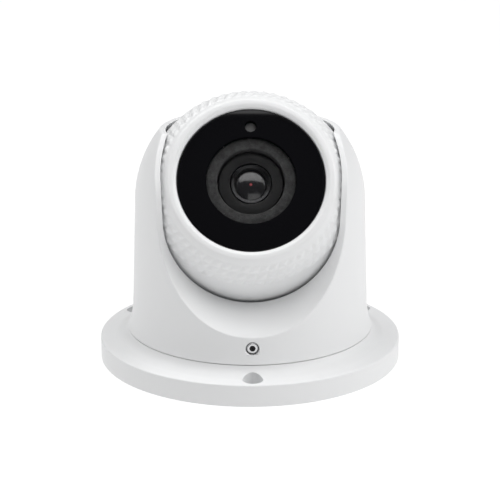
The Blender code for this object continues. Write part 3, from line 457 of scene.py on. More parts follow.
def soften(corners: Array, cuts: Array, steps: int = 4) -> Array:
    """Rounds the corners of a closed outline.

    A corner B between A and C becomes (1-t)^2 P + 2t(1-t) B + t^2 Q, where P and Q lie the cut's
    distance from B towards A and C, and no further than half way. A cut of 0 keeps the corner.

    Args:
        corners: the outline's points.
        cuts: one distance for each corner.
        steps: how many steps a rounded corner has.

    Returns:
        The rounded outline's points.
    """
    before, after = np.roll(corners, 1, axis=0) - corners, np.roll(corners, -1, axis=0) - corners
    cuts = np.broadcast_to(cuts, len(corners))[:, None]

    def reach(way: Array) -> Array:
        """How far the cut goes along an edge, at most just under half of it."""
        length = np.maximum(np.linalg.norm(way, axis=1, keepdims=True), 1e-12)
        return way / length * np.minimum(cuts, 0.48 * length)

    t = np.linspace(0.0, 1.0, steps + 1)[None, :, None]
    start, end = corners + reach(before), corners + reach(after)
    curve = (1 - t) ** 2 * start[:, None] + 2 * t * (1 - t) * corners[:, None] + t**2 * end[:, None]
    keep = (cuts > 0) | (np.arange(steps + 1)[None, :] == 0)
    return curve[keep]


def arc(radius: float, start: float, end: float, steps: int, centre: tuple[float, float] = (0, 0)) -> Array:
    """Points (r, z) of an arc, with its angle measured from +Z towards +R.

    Args:
        radius: the arc's radius.
        start: the first angle.
        end: the last angle.
        steps: how many steps it has.
        centre: the arc's centre.

    Returns:
        The points, both ends among them.
    """
    turn = np.linspace(start, end, steps + 1)
    return np.stack([centre[0] + radius * np.sin(turn), centre[1] + radius * np.cos(turn)], axis=1)


def outline(*runs: tuple[Any, float]) -> Array:
    """Joins runs of an outline and rounds them.

    Args:
        runs: pairs of points and the distance that their corners are cut by.

    Returns:
        The rounded outline.
    """
    points = [np.atleast_2d(np.array(run, float)) for run, _ in runs]
    cuts = [np.full(len(p), cut) for p, (_, cut) in zip(points, runs)]
    return soften(np.concatenate(points), np.concatenate(cuts))


def square_section(size: Extent) -> list[tuple[float, float]]:
    """The four corners of a plain ring's section.

    Args:
        size: the ring's radii and heights.

    Returns:
        The corners (r, z).
    """
    return [(size.inner, size.low), (size.outer, size.low), (size.outer, size.high), (size.inner, size.high)]


def carve(piece: bpy.types.Object, cutters: list[bpy.types.Object], sharp: float = 32.0) -> bpy.types.Object:
    """Takes the cutters out of a piece and removes them from the scene.

    Args:
        piece: the piece.
        cutters: closed shapes.
        sharp: the angle in degrees past which an edge is shaded sharp.

    Returns:
        The piece with its new mesh.
    """
    for cutter in cutters:
        change = piece.modifiers.new("cut", "BOOLEAN")
        change.operation = "DIFFERENCE"
        change.object = cutter
        change.solver = "EXACT"
    bpy.context.view_layer.update()
    graph = bpy.context.evaluated_depsgraph_get()
    made = bpy.data.meshes.new_from_object(piece.evaluated_get(graph))
    piece.modifiers.clear()
    piece.data = made
    for cutter in cutters:
        bpy.data.objects.remove(cutter)
    made.shade_smooth()
    made.set_sharp_from_angle(angle=math.radians(sharp))
    return piece


def chord(radius: float, offset: Any) -> Any:
    """Radius of a sphere's cut at a distance from its centre.

    Args:
        radius: the sphere's radius.
        offset: the distance of the cut.

    Returns:
        sqrt(radius^2 - offset^2), and 0 past the sphere.
    """
    return np.sqrt(np.maximum(radius**2 - np.square(offset), 0.0))


# ---------------------------------------------------------------- finishes


@dataclass(frozen=True)
class WhiteShell:
    """Satin white moulding: nearly even, with a fine pebbled skin and faint flow tones."""

    name: str
    colour: tuple[float, float, float] = (0.83, 0.835, 0.84)
    roughness: float = 0.42
    grain: float = 0.35 * MM
    depth: float = 0.006 * MM
    tone_size: float = 38 * MM
    dullest: float = 0.975

    def material(self) -> bpy.types.Material:
        """Builds the material."""
        paint = Paint(self.name)
        place = paint.place()
        tone = paint.noise(place, self.tone_size, 3.0)
        skin = paint.noise(place, self.grain, 2.0, 0.6)
        dull = tuple(self.dullest * c for c in self.colour)
        colour = paint.blend(tone, dull, self.colour)
        rough = self.roughness + (tone - 0.5) * 0.06 + (skin - 0.5) * 0.08
        normal = paint.bump(skin, self.depth)
        return paint.surface(base_color=colour, roughness=rough, normal=normal)


@dataclass(frozen=True)
class WindowPane:
    """Black glossy pane that is clear in front of the lens and of the photocell."""

    clear_radius: float
    eye: Axis
    eye_radius: float
    colour: tuple[float, float, float] = (0.004, 0.004, 0.005)
    roughness: float = 0.035
    haze_size: float = 9 * MM
    least_alpha: float = 0.1

    def material(self) -> bpy.types.Material:
        """Builds the material."""
        paint = Paint("window_pane")
        lens_mask = paint.radius(LENS).above(self.clear_radius, 0.25 * MM)
        mask = lens_mask * paint.radius(self.eye).above(self.eye_radius, 0.2 * MM)
        haze = paint.noise(paint.place(), self.haze_size, 3.0)
        return paint.surface(
            base_color=self.colour,
            roughness=self.roughness + (haze - 0.5) * 0.02,
            ior=1.36,
            alpha=self.least_alpha + mask * (1 - self.least_alpha),
        )


@dataclass(frozen=True)
class Foam:
    """Closed-cell foam: fine pores, with paler and darker blotches."""

    name: str
    dark: tuple[float, float, float] = (0.018, 0.018, 0.018)
    pale: tuple[float, float, float] = (0.075, 0.075, 0.076)
    blotch_size: float = 2.6 * MM
    pore_size: float = 0.35 * MM
    pore_depth: float = 0.12 * MM

    def material(self) -> bpy.types.Material:
        """Builds the material."""
        paint = Paint(self.name)
        place = paint.place()
        blotch = paint.noise(place, self.blotch_size, 4.0, 0.7)
        pores = paint.noise(place, self.pore_size, 3.0, 0.6)
        mask = ((blotch - 0.5) * 2.2 + (pores - 0.5) * 1.6 + 0.5).math("ADD", 0.0, clamp=True)
        return paint.surface(
            base_color=paint.blend(mask, self.dark, self.pale),
            roughness=0.78 + (pores - 0.5) * 0.2,
            normal=paint.bump(pores, self.pore_depth),
        )


@dataclass(frozen=True)
class Plain:
    """A moulding or casting of one colour with a grain, for rubber, plastics and rough metal."""

    name: str
    colour: tuple[float, float, float]
    roughness: float
    metallic: float = 0.0
    grain: float = 0.4 * MM
    depth: float = 0.01 * MM
    spread: float = 0.12
    coat: float = 0.0
    tone_size: float = 7 * MM

    def material(self) -> bpy.types.Material:
        """Builds the material."""
        paint = Paint(self.name)
        place = paint.place()
        tone = paint.noise(place, self.tone_size, 3.0)
        skin = paint.noise(place, self.grain, 3.0, 0.6)
        dark = tuple(c * (1 - self.spread) for c in self.colour)
        pale = tuple(min(1.0, c * (1 + self.spread)) for c in self.colour)
        return paint.surface(
            base_color=paint.blend(tone, dark, pale),
            roughness=self.roughness + (skin - 0.5) * 0.16 + (tone - 0.5) * 0.08,
            metallic=self.metallic,
            coat_weight=self.coat,
            normal=paint.bump(skin, self.depth),
        )


@dataclass(frozen=True)
class TurnedMetal:
    """Bright turned metal with fine rings round its axis, and painted shade in its socket where it has one.
    """

    name: str
    axis: Axis
    colour: tuple[float, float, float] = (0.72, 0.72, 0.73)
    roughness: float = 0.24
    # socket: radius of a near-black disc painted on the axis as the shade inside a screw's hexagon socket; 0
    # paints none.
    socket: float = 0.0
    socket_shade_colour: tuple[float, float, float] = (0.02, 0.02, 0.02)
    ring_pitch: float = 0.22 * MM
    ring_depth: float = 0.004 * MM
    wear_size: float = 0.9 * MM
    darkest: float = 0.72

    def material(self) -> bpy.types.Material:
        """Builds the material."""
        paint = Paint(self.name)
        rings = (paint.radius(self.axis) * (2 * math.pi / self.ring_pitch)).math("SINE")
        wear = paint.noise(paint.place(), self.wear_size, 3.0, 0.6)
        height = rings * 0.5 + 0.5
        dark = tuple(self.darkest * c for c in self.colour)
        colour = paint.blend(wear, dark, self.colour)
        # Painted shade: inside the socket radius the colour turns near-black, standing in for the shade in
        # the hexagon socket.
        if self.socket:
            outside = paint.radius(self.axis).above(self.socket, 0.1 * MM)
            colour = paint.blend(outside, self.socket_shade_colour, colour)
        return paint.surface(
            base_color=colour,
            roughness=self.roughness + (wear - 0.5) * 0.2,
            metallic=1.0,
            normal=paint.bump(height, self.ring_depth),
        )


@dataclass(frozen=True)
class CoatedGlass:
    """Dark coated lens glass, with a warm spot on the optical axis."""

    name: str
    colour: tuple[float, float, float] = (0.02, 0.02, 0.022)
    spot: tuple[float, float, float] = (0.55, 0.12, 0.13)
    spot_radius: float = 0.5 * MM
    spot_fade: float = 0.4 * MM
    roughness: float = 0.16
    dust_size: float = 0.8 * MM

    def material(self) -> bpy.types.Material:
        """Builds the material."""
        paint = Paint(self.name)
        dust = paint.noise(paint.place(), self.dust_size, 4.0, 0.7)
        outside = paint.radius(LENS).above(self.spot_radius, self.spot_fade)
        return paint.surface(
            base_color=paint.blend(outside, self.spot, self.colour),
            roughness=self.roughness + dust * 0.02,
            coat_weight=0.6,
            ior=1.7,
        )


@dataclass(frozen=True)
class CircuitBoard:
    """Green solder mask with copper tracks under it and bare pads in rows."""

    name: str
    axis: Axis
    pitch: float = 2.4 * MM
    track_green: tuple[float, float, float] = (0.03, 0.15, 0.06)
    mask_green: tuple[float, float, float] = (0.012, 0.075, 0.03)
    tin: tuple[float, float, float] = (0.75, 0.72, 0.62)
    copper_height: float = 0.03 * MM

    def material(self) -> bpy.types.Material:
        """Builds the material."""
        paint = Paint(self.name)
        place = paint.place(self.axis)
        x, y, _ = paint.parts(place)
        wander = paint.noise(place, 6 * MM, 1.0)
        lane = (y / self.pitch * 2.0 + wander * 3.0).math("FRACT")
        track = (lane - 0.5).math("ABSOLUTE").above(0.3, 0.06)
        across = (x / self.pitch).math("FRACT") - 0.5
        along = (y / self.pitch).math("FRACT") - 0.5
        pad = 1 - ((across * across + along * along) ** 0.5).above(0.14, 0.03)
        chosen = paint.noise(place, 5 * MM, 0.0).above(0.56, 0.02)
        bare = pad * chosen
        green = paint.blend(track, self.mask_green, self.track_green)
        return paint.surface(
            base_color=paint.blend(bare, green, self.tin),
            roughness=0.34 + track * 0.08,
            metallic=bare,
            normal=paint.bump(track * 0.5 + bare, self.copper_height),
        )


class Finish(Enum):
    """The finishes that pieces are dressed in."""

    SHELL = WhiteShell("shell_white")
    BALL_SHELL = WhiteShell("ball_white", (0.84, 0.845, 0.85), 0.4)
    PLATE = WhiteShell("plate_white", (0.84, 0.845, 0.85), 0.44)
    RUBBER = Plain("black_rubber", (0.022, 0.022, 0.023), 0.72, grain=0.25 * MM)
    BLACK = Plain("satin_black", (0.012, 0.012, 0.012), 0.42, grain=0.2 * MM)
    BARREL = Plain("lens_black", (0.011, 0.011, 0.0115), 0.36, grain=0.15 * MM, depth=0.004 * MM)
    PALE = Plain("pale_plastic", (0.72, 0.72, 0.69), 0.46, spread=0.04)
    CAST = Plain("cast_metal", (0.55, 0.56, 0.57), 0.48, 1.0, grain=0.6 * MM, depth=0.03 * MM)
    COPPER = Plain("wound_copper", (0.62, 0.26, 0.12), 0.34, 1.0, grain=0.3 * MM, depth=0.05 * MM)
    LAMP = Plain("clear_resin", (0.62, 0.62, 0.6), 0.12, spread=0.05, depth=0.002 * MM, coat=0.7)
    EYE = Plain("photocell_resin", (0.3, 0.3, 0.3), 0.14, spread=0.05, depth=0.002 * MM, coat=0.7)
    FOAM = Foam("shield_foam")
    PAD_FOAM = Foam("pad_foam", (0.02, 0.02, 0.02), (0.05, 0.05, 0.05))
    STEEL = TurnedMetal("bright_steel", PAN)
    # The lock screw's hexagon socket gets painted shade out to the socket radius.
    SCREW_STEEL = TurnedMetal("screw_steel", LOCK, socket=1.2 * MM)
    INNER_STEEL = TurnedMetal("post_steel", LENS)
    TRIM = TurnedMetal("trim_black", LENS, (0.06, 0.06, 0.062), 0.3)
    GLASS = CoatedGlass("lens_glass")
    BOARD = CircuitBoard("green_board", LENS)


_MADE: dict[str, bpy.types.Material] = {}


def material_of(finish: Any) -> bpy.types.Material:
    """A finish's material, which is built once.

    Args:
        finish: a member of Finish or a finish of its own.

    Returns:
        The material.
    """
    recipe = finish.value if isinstance(finish, Finish) else finish
    key = str(recipe)
    if key not in _MADE:
        _MADE[key] = recipe.material()
    return _MADE[key]


def fit_out(piece: bpy.types.Object, finish: Any, body: str, slot: str, *nodes: str) -> bpy.types.Object:
    """Gives a new piece its finish and its body, and hides the CAD nodes that it stands for.

    Args:
        piece: the piece.
        finish: what it is dressed in.
        body: the body that it rides on.
        slot: the record's material slot; not used.
        nodes: the CAD nodes that it replaces.

    Returns:
        The piece.
    """
    piece.data.materials.clear()
    piece.data.materials.append(material_of(finish))
    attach(piece, body)
    if nodes:
        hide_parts(*nodes)
    LOG.info("%s: %d faces on %s", piece.name, len(piece.data.polygons), body)
    return piece


def dress_node(node: str, finish: Any) -> None:
    """Gives a CAD node that stays in view a finish.

    Args:
        node: the node's name.
        finish: what it is dressed in.
    """
    piece = frame["nodes"][node]
    piece.data.materials.clear()
    piece.data.materials.append(material_of(finish))
    LOG.info("%s: dressed", node)


# ---------------------------------------------------------------- mounting plate


@dataclass
class MountingPlate:
    """The round plate with its flared edge, screw recesses and spigot."""

    radius: float = PAN.extent("mounting_base").outer
    spigot_top: float = PAN.extent("mounting_base").high
    thickness: float = 9.0 * MM
    seam_height: float = 12.85 * MM
    seam_radius: float = PAN.extent("shroud").outer
    flare_width: float = 5.9 * MM
    edge: float = 0.7 * MM
    floor: float = 4.0 * MM
    cable_hole: float = 12.0 * MM
    pad_groove: tuple[float, float] = (PAN.extent("base_pad").inner, PAN.extent("base_pad").outer)
    pad_depth: float = 1.5 * MM
    spigot_radius: float = 45.2 * MM
    spigot_wall: float = 4.2 * MM
    shoe_groove: float = 1.4 * MM
    recess_radius: float = 4.1 * MM
    recess_edge: float = 1.9 * MM
    recess_floor: float = 3.0 * MM
    hole_radius: float = 2.2 * MM
    holes: int = 3
    overrun: float = 5.0 * MM
    gland_lip: float = 1.7 * MM
    gland_taper: float = 2.0 * MM

    def flare(self) -> Array:
        """The concave fillet from the flat rim up to the seam.

        It is the arc that is level where it leaves the rim and passes through the seam.

        Returns:
            The arc's points.
        """
        rise = self.seam_height - self.thickness
        sweep = 2 * math.atan(rise / self.flare_width)
        bend = self.flare_width / math.sin(sweep)
        outer = self.seam_radius + self.flare_width
        return arc(bend, math.pi, math.pi + sweep, 18, (outer, self.thickness + bend))

    def body(self) -> bpy.types.Object:
        """Builds the plate.

        Returns:
            The plate's piece.
        """
        pad_in, pad_out = self.pad_groove[0] - GAP, self.pad_groove[1] + GAP
        inner = self.spigot_radius - self.spigot_wall
        snap = PAN.extent("snap_ring")
        shoe = LOCK.extent("brake_shoe").outer + GAP
        shoe_floor = self.spigot_radius - self.shoe_groove
        grooves = []
        for floor, low, high in (
            (snap.inner - GAP, snap.low - GAP, snap.high + GAP),
            (shoe_floor, LOCK.origin[2] - shoe, LOCK.origin[2] + shoe),
        ):
            grooves += [(self.spigot_radius, low), (floor, low), (floor, high), (self.spigot_radius, high)]
        shape = outline(
            ([(self.cable_hole, 0.0)], 0.3 * MM),
            ([(pad_in, 0.0), (pad_in, self.pad_depth), (pad_out, self.pad_depth), (pad_out, 0.0)], 0.2 * MM),
            ([(self.radius, 0.0)], 0.15 * MM),
            ([(self.radius, self.thickness)], self.edge),
            (self.flare(), 0.0),
            ([(self.spigot_radius, self.seam_height)], 0.1 * MM),
            (grooves, 0.0),
            ([(self.spigot_radius, self.spigot_top), (inner, self.spigot_top)], 0.4 * MM),
            ([(inner, self.floor), (self.cable_hole, self.floor)], 0.6 * MM),
        )
        plate = lathe("plate", shape, PAN, 360)
        cutters = []
        circle = self.radius - self.recess_edge - self.recess_radius
        for number in range(self.holes):
            turn = -math.pi / 2 + 2 * math.pi * number / self.holes
            spot = Axis((circle * math.cos(turn), circle * math.sin(turn), 0.0), 0.0)
            cutters.append(self.recess(spot))
        carve(plate, cutters)
        return fit_out(plate, Finish.PLATE, "base", "white_plate", "mounting_base")

    def recess(self, spot: Axis) -> bpy.types.Object:
        """The shape of one screw's hole and the wider recess over it.

        Args:
            spot: the screw's axis.

        Returns:
            The shape to cut away.
        """
        top = self.spigot_top + self.overrun
        shape = outline(
            ([(0.0, -self.overrun), (self.hole_radius, -self.overrun)], 0.0),
            ([(self.hole_radius, self.recess_floor)], 0.25 * MM),
            ([(self.recess_radius, self.recess_floor)], 0.5 * MM),
            ([(self.recess_radius, top), (0.0, top)], 0.0),
        )
        return lathe("recess", shape, spot, 72)

    def build(self) -> None:
        """Builds the plate and what is fixed to it."""
        self.body()
        gland = PAN.extent("cable_gland")
        lip = self.floor + GAP
        shape = outline(
            ([(gland.inner, gland.low)], 0.4 * MM),
            ([(self.cable_hole - GAP, gland.low), (self.cable_hole - GAP, lip)], 0.2 * MM),
            ([(gland.outer, lip), (gland.outer, lip + self.gland_lip)], 0.5 * MM),
            ([(gland.inner + self.gland_taper, gland.high), (gland.inner, gland.high)], 0.5 * MM),
        )
        fit_out(lathe("gland", shape, PAN, 96), Finish.RUBBER, "base", "black_rubber", "cable_gland")
        section = square_section(PAN.extent("base_pad"))
        foam = lathe("pad", outline((section, 0.3 * MM)), PAN, 180)
        fit_out(foam, Finish.PAD_FOAM, "base", "grey_foam", "base_pad")
        dress_node("snap_ring", Finish.STEEL)


# ---------------------------------------------------------------- shroud


@dataclass
class Shroud:
    """The cover round the ball, with its U-shaped opening and the cup under the ball.

    Heights are measured from the ball's centre, and a bearing is the angle from the front (-Y)
    towards +X.
    """

    centre: float = BALL.origin[2]
    socket: float = 45.6 * MM
    wall: float = 2.0 * MM
    draft: float = 0.035
    dome_cut: float = BALL.extent("shroud").high
    foot: float = BALL.extent("shroud").low
    foot_flare: float = 2.0 * MM
    flare_height: float = 10.0 * MM
    opening: float = 35.3 * MM
    opening_draft: float = math.radians(3.0)
    facet_side: float = 2.6 * MM
    facet_drop: float = 43.3 * MM
    facet_rise: float = 4.0 * MM
    facet_power: float = 2.2
    shoulder: float = 15.0 * MM
    shoulder_bend: float = 3.5 * MM
    rim_round: float = 0.55 * MM
    cup_opening: float = math.radians(25.0)
    cup_floor: float = BALL.extent("ball_cup").low
    columns: int = 560
    wall_rows: int = 52
    wall_crowding: float = 1.35
    bowl_rows: int = 32
    corner_spread: float = 0.7 * MM
    bore_room: float = 0.35 * MM
    bore_step: float = 0.6 * MM
    hexagon_radius: float = 1.3 * MM
    hexagon_depth: float = 1.0 * MM
    screw_bevel: float = 0.45 * MM

    def outside(self, z: Array) -> Array:
        """Outer radius at a height.

        Above the centre it is a sphere, sqrt(R^2 - z^2). Below it is R + draft * -z, and the foot
        adds b - sqrt(b^2 - d^2), where d is the depth below the top of the flare and b the bend
        that gives the flare's width at its full depth.

        Args:
            z: heights.

        Returns:
            The radii.
        """
        radius = self.socket + self.wall
        full = self.flare_height
        bend = (full**2 + self.foot_flare**2) / (2 * self.foot_flare)
        depth = np.clip(self.foot - GAP + full - z, 0.0, full)
        below = radius - self.draft * z + bend - np.sqrt(bend**2 - depth**2)
        return np.where(z > 0, chord(radius, z), below)

    def edges(self) -> tuple[Array, Array]:
        """The rim's outer and inner edge as closed loops.

        From the front the outer edge is half a squared ellipse and the inner one half a circle,
        both with sides that lean outwards. Above the shoulder both sides bend in over the ball by
        b s^2, where s runs from 0 at the shoulder to 1 at the cut. They run up to the flat cut of
        the dome and round it. Both are resampled to even steps, and a Gaussian along the loop
        rounds their corners.

        Returns:
            Two arrays of points about the ball's centre.
        """
        lean = math.tan(self.opening_draft)
        turn = np.linspace(0.0, np.pi / 2, 400)
        power = 2 / self.facet_power
        wide = self.opening + self.facet_side
        rise = np.linspace(0.0, 1.0, 200)[1:]
        inner_rise = rise * self.dome_cut
        outer_rise = self.facet_rise + rise * (self.dome_cut - self.facet_rise)
        inner_x = np.concatenate([self.opening * np.sin(turn), self.opening + lean * inner_rise])
        inner_z = np.concatenate([-self.opening * np.cos(turn), inner_rise])
        drop = self.facet_drop + self.facet_rise
        outer_x = np.concatenate(
            [wide * np.sin(turn) ** power, wide + lean * (outer_rise - self.facet_rise)]
        )
        outer_z = np.concatenate([self.facet_rise - drop * np.cos(turn) ** power, outer_rise])
        span = self.dome_cut - self.shoulder
        inner_x = inner_x - self.shoulder_bend * np.clip((inner_z - self.shoulder) / span, 0.0, 1.0) ** 2
        outer_x = outer_x - self.shoulder_bend * np.clip((outer_z - self.shoulder) / span, 0.0, 1.0) ** 2
        inner_r, outer_r = chord(self.socket, inner_z), self.outside(outer_z)
        inner_b = np.arcsin(np.minimum(inner_x / inner_r, 1.0))
        outer_b = np.arcsin(np.minimum(outer_x / outer_r, 1.0))
        back = np.linspace(np.pi / 2, np.pi, 300)[20:]
        flat = np.full(len(back), self.dome_cut)
        inner = self.loop(np.concatenate([inner_b, back]), np.concatenate([inner_z, flat]), False)
        outer = self.loop(np.concatenate([outer_b, back]), np.concatenate([outer_z, flat]), True)
        return self.even(outer, inner)

    def spot(self, bearing: Array, z: Array, outside: bool) -> Array:
        """Points of the outer wall or of the socket at these bearings and heights."""
        radius = self.outside(z) if outside else chord(self.socket, z)
        return np.stack([radius * np.sin(bearing), -radius * np.cos(bearing), z], axis=-1)

    def loop(self, bearing: Array, z: Array, outside: bool) -> Array:
        """A right half from front to back, and its mirror image, as one closed loop."""
        half = self.spot(bearing, z, outside)
        other = half[-2:0:-1] * np.array([-1.0, 1.0, 1.0])
        return np.concatenate([half, other])

    def even(self, outer: Array, inner: Array) -> tuple[Array, Array]:
        """Resamples both loops by the outer one's length and rounds their corners.

        Args:
            outer: the outer loop.
            inner: the inner loop, point for point.

        Returns:
            Both with the wanted number of columns.
        """
        closed = np.concatenate([outer, outer[:1]])
        middle = (closed + np.concatenate([inner, inner[:1]])) / 2
        length = np.concatenate([[0.0], np.cumsum(np.linalg.norm(np.diff(middle, axis=0), axis=1))])
        finer = 4
        fine = finer * self.columns
        steps = np.linspace(0.0, length[-1], fine, endpoint=False)
        spread = self.corner_spread / (length[-1] / fine)
        reach = np.minimum(np.arange(fine), fine - np.arange(fine))
        kernel = np.exp(-0.5 * (reach / spread) ** 2)
        weight = np.fft.fft(kernel / kernel.sum())

        def resample(path: Array) -> Array:
            """The loop at even steps, with its corners rounded."""
            closed_path = np.concatenate([path, path[:1]])
            points = np.stack([np.interp(steps, length, closed_path[:, k]) for k in range(3)], axis=1)
            return np.fft.ifft(np.fft.fft(points, axis=0) * weight[:, None], axis=0).real[::finer]

        return self.settle(resample(outer), True), self.settle(resample(inner), False)

    def settle(self, points: Array, outside: bool) -> Array:
        """Moves points level on to the outer wall or the socket."""
        z = np.minimum(points[:, 2], self.dome_cut)
        return self.spot(np.arctan2(points[:, 0], -points[:, 1]), z, outside)

    def back_off(self, edge: Array, outside: bool) -> Array:
        """Points on the wall at the rounding's distance from an edge.

        The way back is T x N, where T runs along the edge and N is the radial direction.
        """
        along = np.roll(edge, -1, axis=0) - np.roll(edge, 1, axis=0)
        normal = edge.copy()
        if outside:
            step = 0.05 * MM
            slope = (self.outside(edge[:, 2] + step) - self.outside(edge[:, 2] - step)) / (2 * step)
            normal[:, 2] = -slope * np.hypot(edge[:, 0], edge[:, 1])
        way = np.cross(along, normal)
        way /= np.linalg.norm(way, axis=1, keepdims=True)
        return self.settle(edge + way * self.rim_round, outside)

    def cover(self) -> Array:
        """The cover's grid: rings from the foot up the outside, over the rim and down the socket.

        Returns:
            An array of rings of points about the ball's centre.
        """
        outer, inner = self.edges()
        outer_wall, inner_wall = self.back_off(outer, True), self.back_off(inner, False)
        across = inner - outer
        unit = across / np.linalg.norm(across, axis=1, keepdims=True)
        outer_facet, inner_facet = outer + unit * self.rim_round, inner - unit * self.rim_round
        bearing = np.arctan2(outer[:, 0], -outer[:, 1])
        bearing_out = np.arctan2(outer_wall[:, 0], -outer_wall[:, 1])
        climb = np.linspace(0.0, 1.0, self.wall_rows)[:, None] ** self.wall_crowding
        z = self.foot + (outer_wall[None, :, 2] - self.foot) * climb
        wall = self.spot(bearing_out + 0 * z, z, True)

        def bow(start: Array, corner: Array, end: Array) -> Array:
            """A parabola from start to end that the corner pulls on: a quadratic Bezier curve."""
            t = np.linspace(0.0, 1.0, 6)[1:, None, None]
            return (1 - t) ** 2 * start + 2 * t * (1 - t) * corner + t**2 * end

        t = np.linspace(0.0, 1.0, 9)[1:-1, None, None]
        facet = outer_facet + (inner_facet - outer_facet) * t
        bearing_in = np.arctan2(inner_wall[:, 0], -inner_wall[:, 1])
        fall = np.linspace(0.0, 1.0, self.bowl_rows)[1:, None]
        start = np.arccos(np.clip(inner_wall[:, 2] / self.socket, -1, 1))
        angle = start + (np.pi - self.cup_opening - start) * fall
        bowl = self.spot(bearing_in + 0 * angle, self.socket * np.cos(angle), False)
        throat = self.socket * math.sin(self.cup_opening)
        snap = BALL.extent("snap_ring")
        groove, low, high = snap.outer + GAP, snap.low - GAP, snap.high + GAP
        under = [(throat, self.cup_floor), (self.socket, self.cup_floor), (self.socket, high), (groove, high)]
        under += [(groove, low), (self.socket, low), (self.socket, self.foot)]
        level = 0 * bearing
        rings = [
            np.stack([r * np.sin(bearing), -r * np.cos(bearing), level + z0], axis=-1) for r, z0 in under
        ]
        outer_rim = bow(outer_wall, outer, outer_facet)
        rim = [outer_rim, facet, inner_facet[None], bow(inner_facet, inner, inner_wall)]
        return np.concatenate([wall, *rim, bowl, np.stack(rings)])

    def build(self) -> None:
        """Builds the cover and the pieces inside it."""
        grid = self.cover()
        faces = surface_faces(len(grid), self.columns, True)
        cover = make_piece("cover", BALL.world(grid.reshape(-1, 3)), faces, 40.0)
        carve(cover, [self.screw_bore()], 40.0)
        fit_out(cover, Finish.SHELL, "shroud", "white_shell", "shroud", "ball_cup")
        dress_node("friction_ring", Finish.RUBBER)
        dress_node("slip_washer", Finish.PALE)
        dress_node("brake_shoe", Finish.PALE)
        self.lock_screw()

    def screw_bore(self) -> bpy.types.Object:
        """The lock screw's bore with a small lead-in at its mouth, and the narrower one of its shoe."""
        screw = LOCK.extent("lock_screw")
        bore = screw.outer + self.bore_room
        shoe = LOCK.extent("brake_shoe").outer + self.bore_room
        start, step = self.socket - 1 * MM, self.socket + self.bore_step
        face = float(self.outside(np.array(LOCK.origin[2] - self.centre)))
        shape = outline(
            ([(0.0, start), (shoe, start), (shoe, step), (bore, step)], 0.0),
            ([(bore, face - 0.25 * MM)], 0.15 * MM),
            ([(bore + 0.8 * MM, face + 0.5 * MM), (0.0, face + 0.5 * MM)], 0.0),
        )
        return lathe("screw_bore", shape, LOCK, 64)

    def lock_screw(self) -> None:
        """The grub screw with its hexagon socket and bevelled face."""
        screw = LOCK.extent("lock_screw")
        bevel = self.screw_bevel
        shape = outline(
            ([(0.0, screw.low), (screw.outer - 0.3 * MM, screw.low)], 0.1 * MM),
            ([(screw.outer, screw.low + 0.3 * MM), (screw.outer, screw.high - bevel)], 0.05 * MM),
            ([(screw.outer - bevel, screw.high)], 0.1 * MM),
            ([(0.0, screw.high)], 0.0),
        )
        piece = lathe("grub_screw", shape, LOCK, 64)
        across = self.hexagon_radius
        deep = screw.high - self.hexagon_depth
        top = screw.high + 1 * MM
        hexagon = outline(([(0.0, deep - 0.3 * MM), (across, deep), (across, top), (0.0, top)], 0.0))
        carve(piece, [lathe("hexagon", hexagon, LOCK, 6, 20.0)])
        fit_out(piece, Finish.SCREW_STEEL, "screw", "bright_steel", "lock_screw")


# ---------------------------------------------------------------- ball


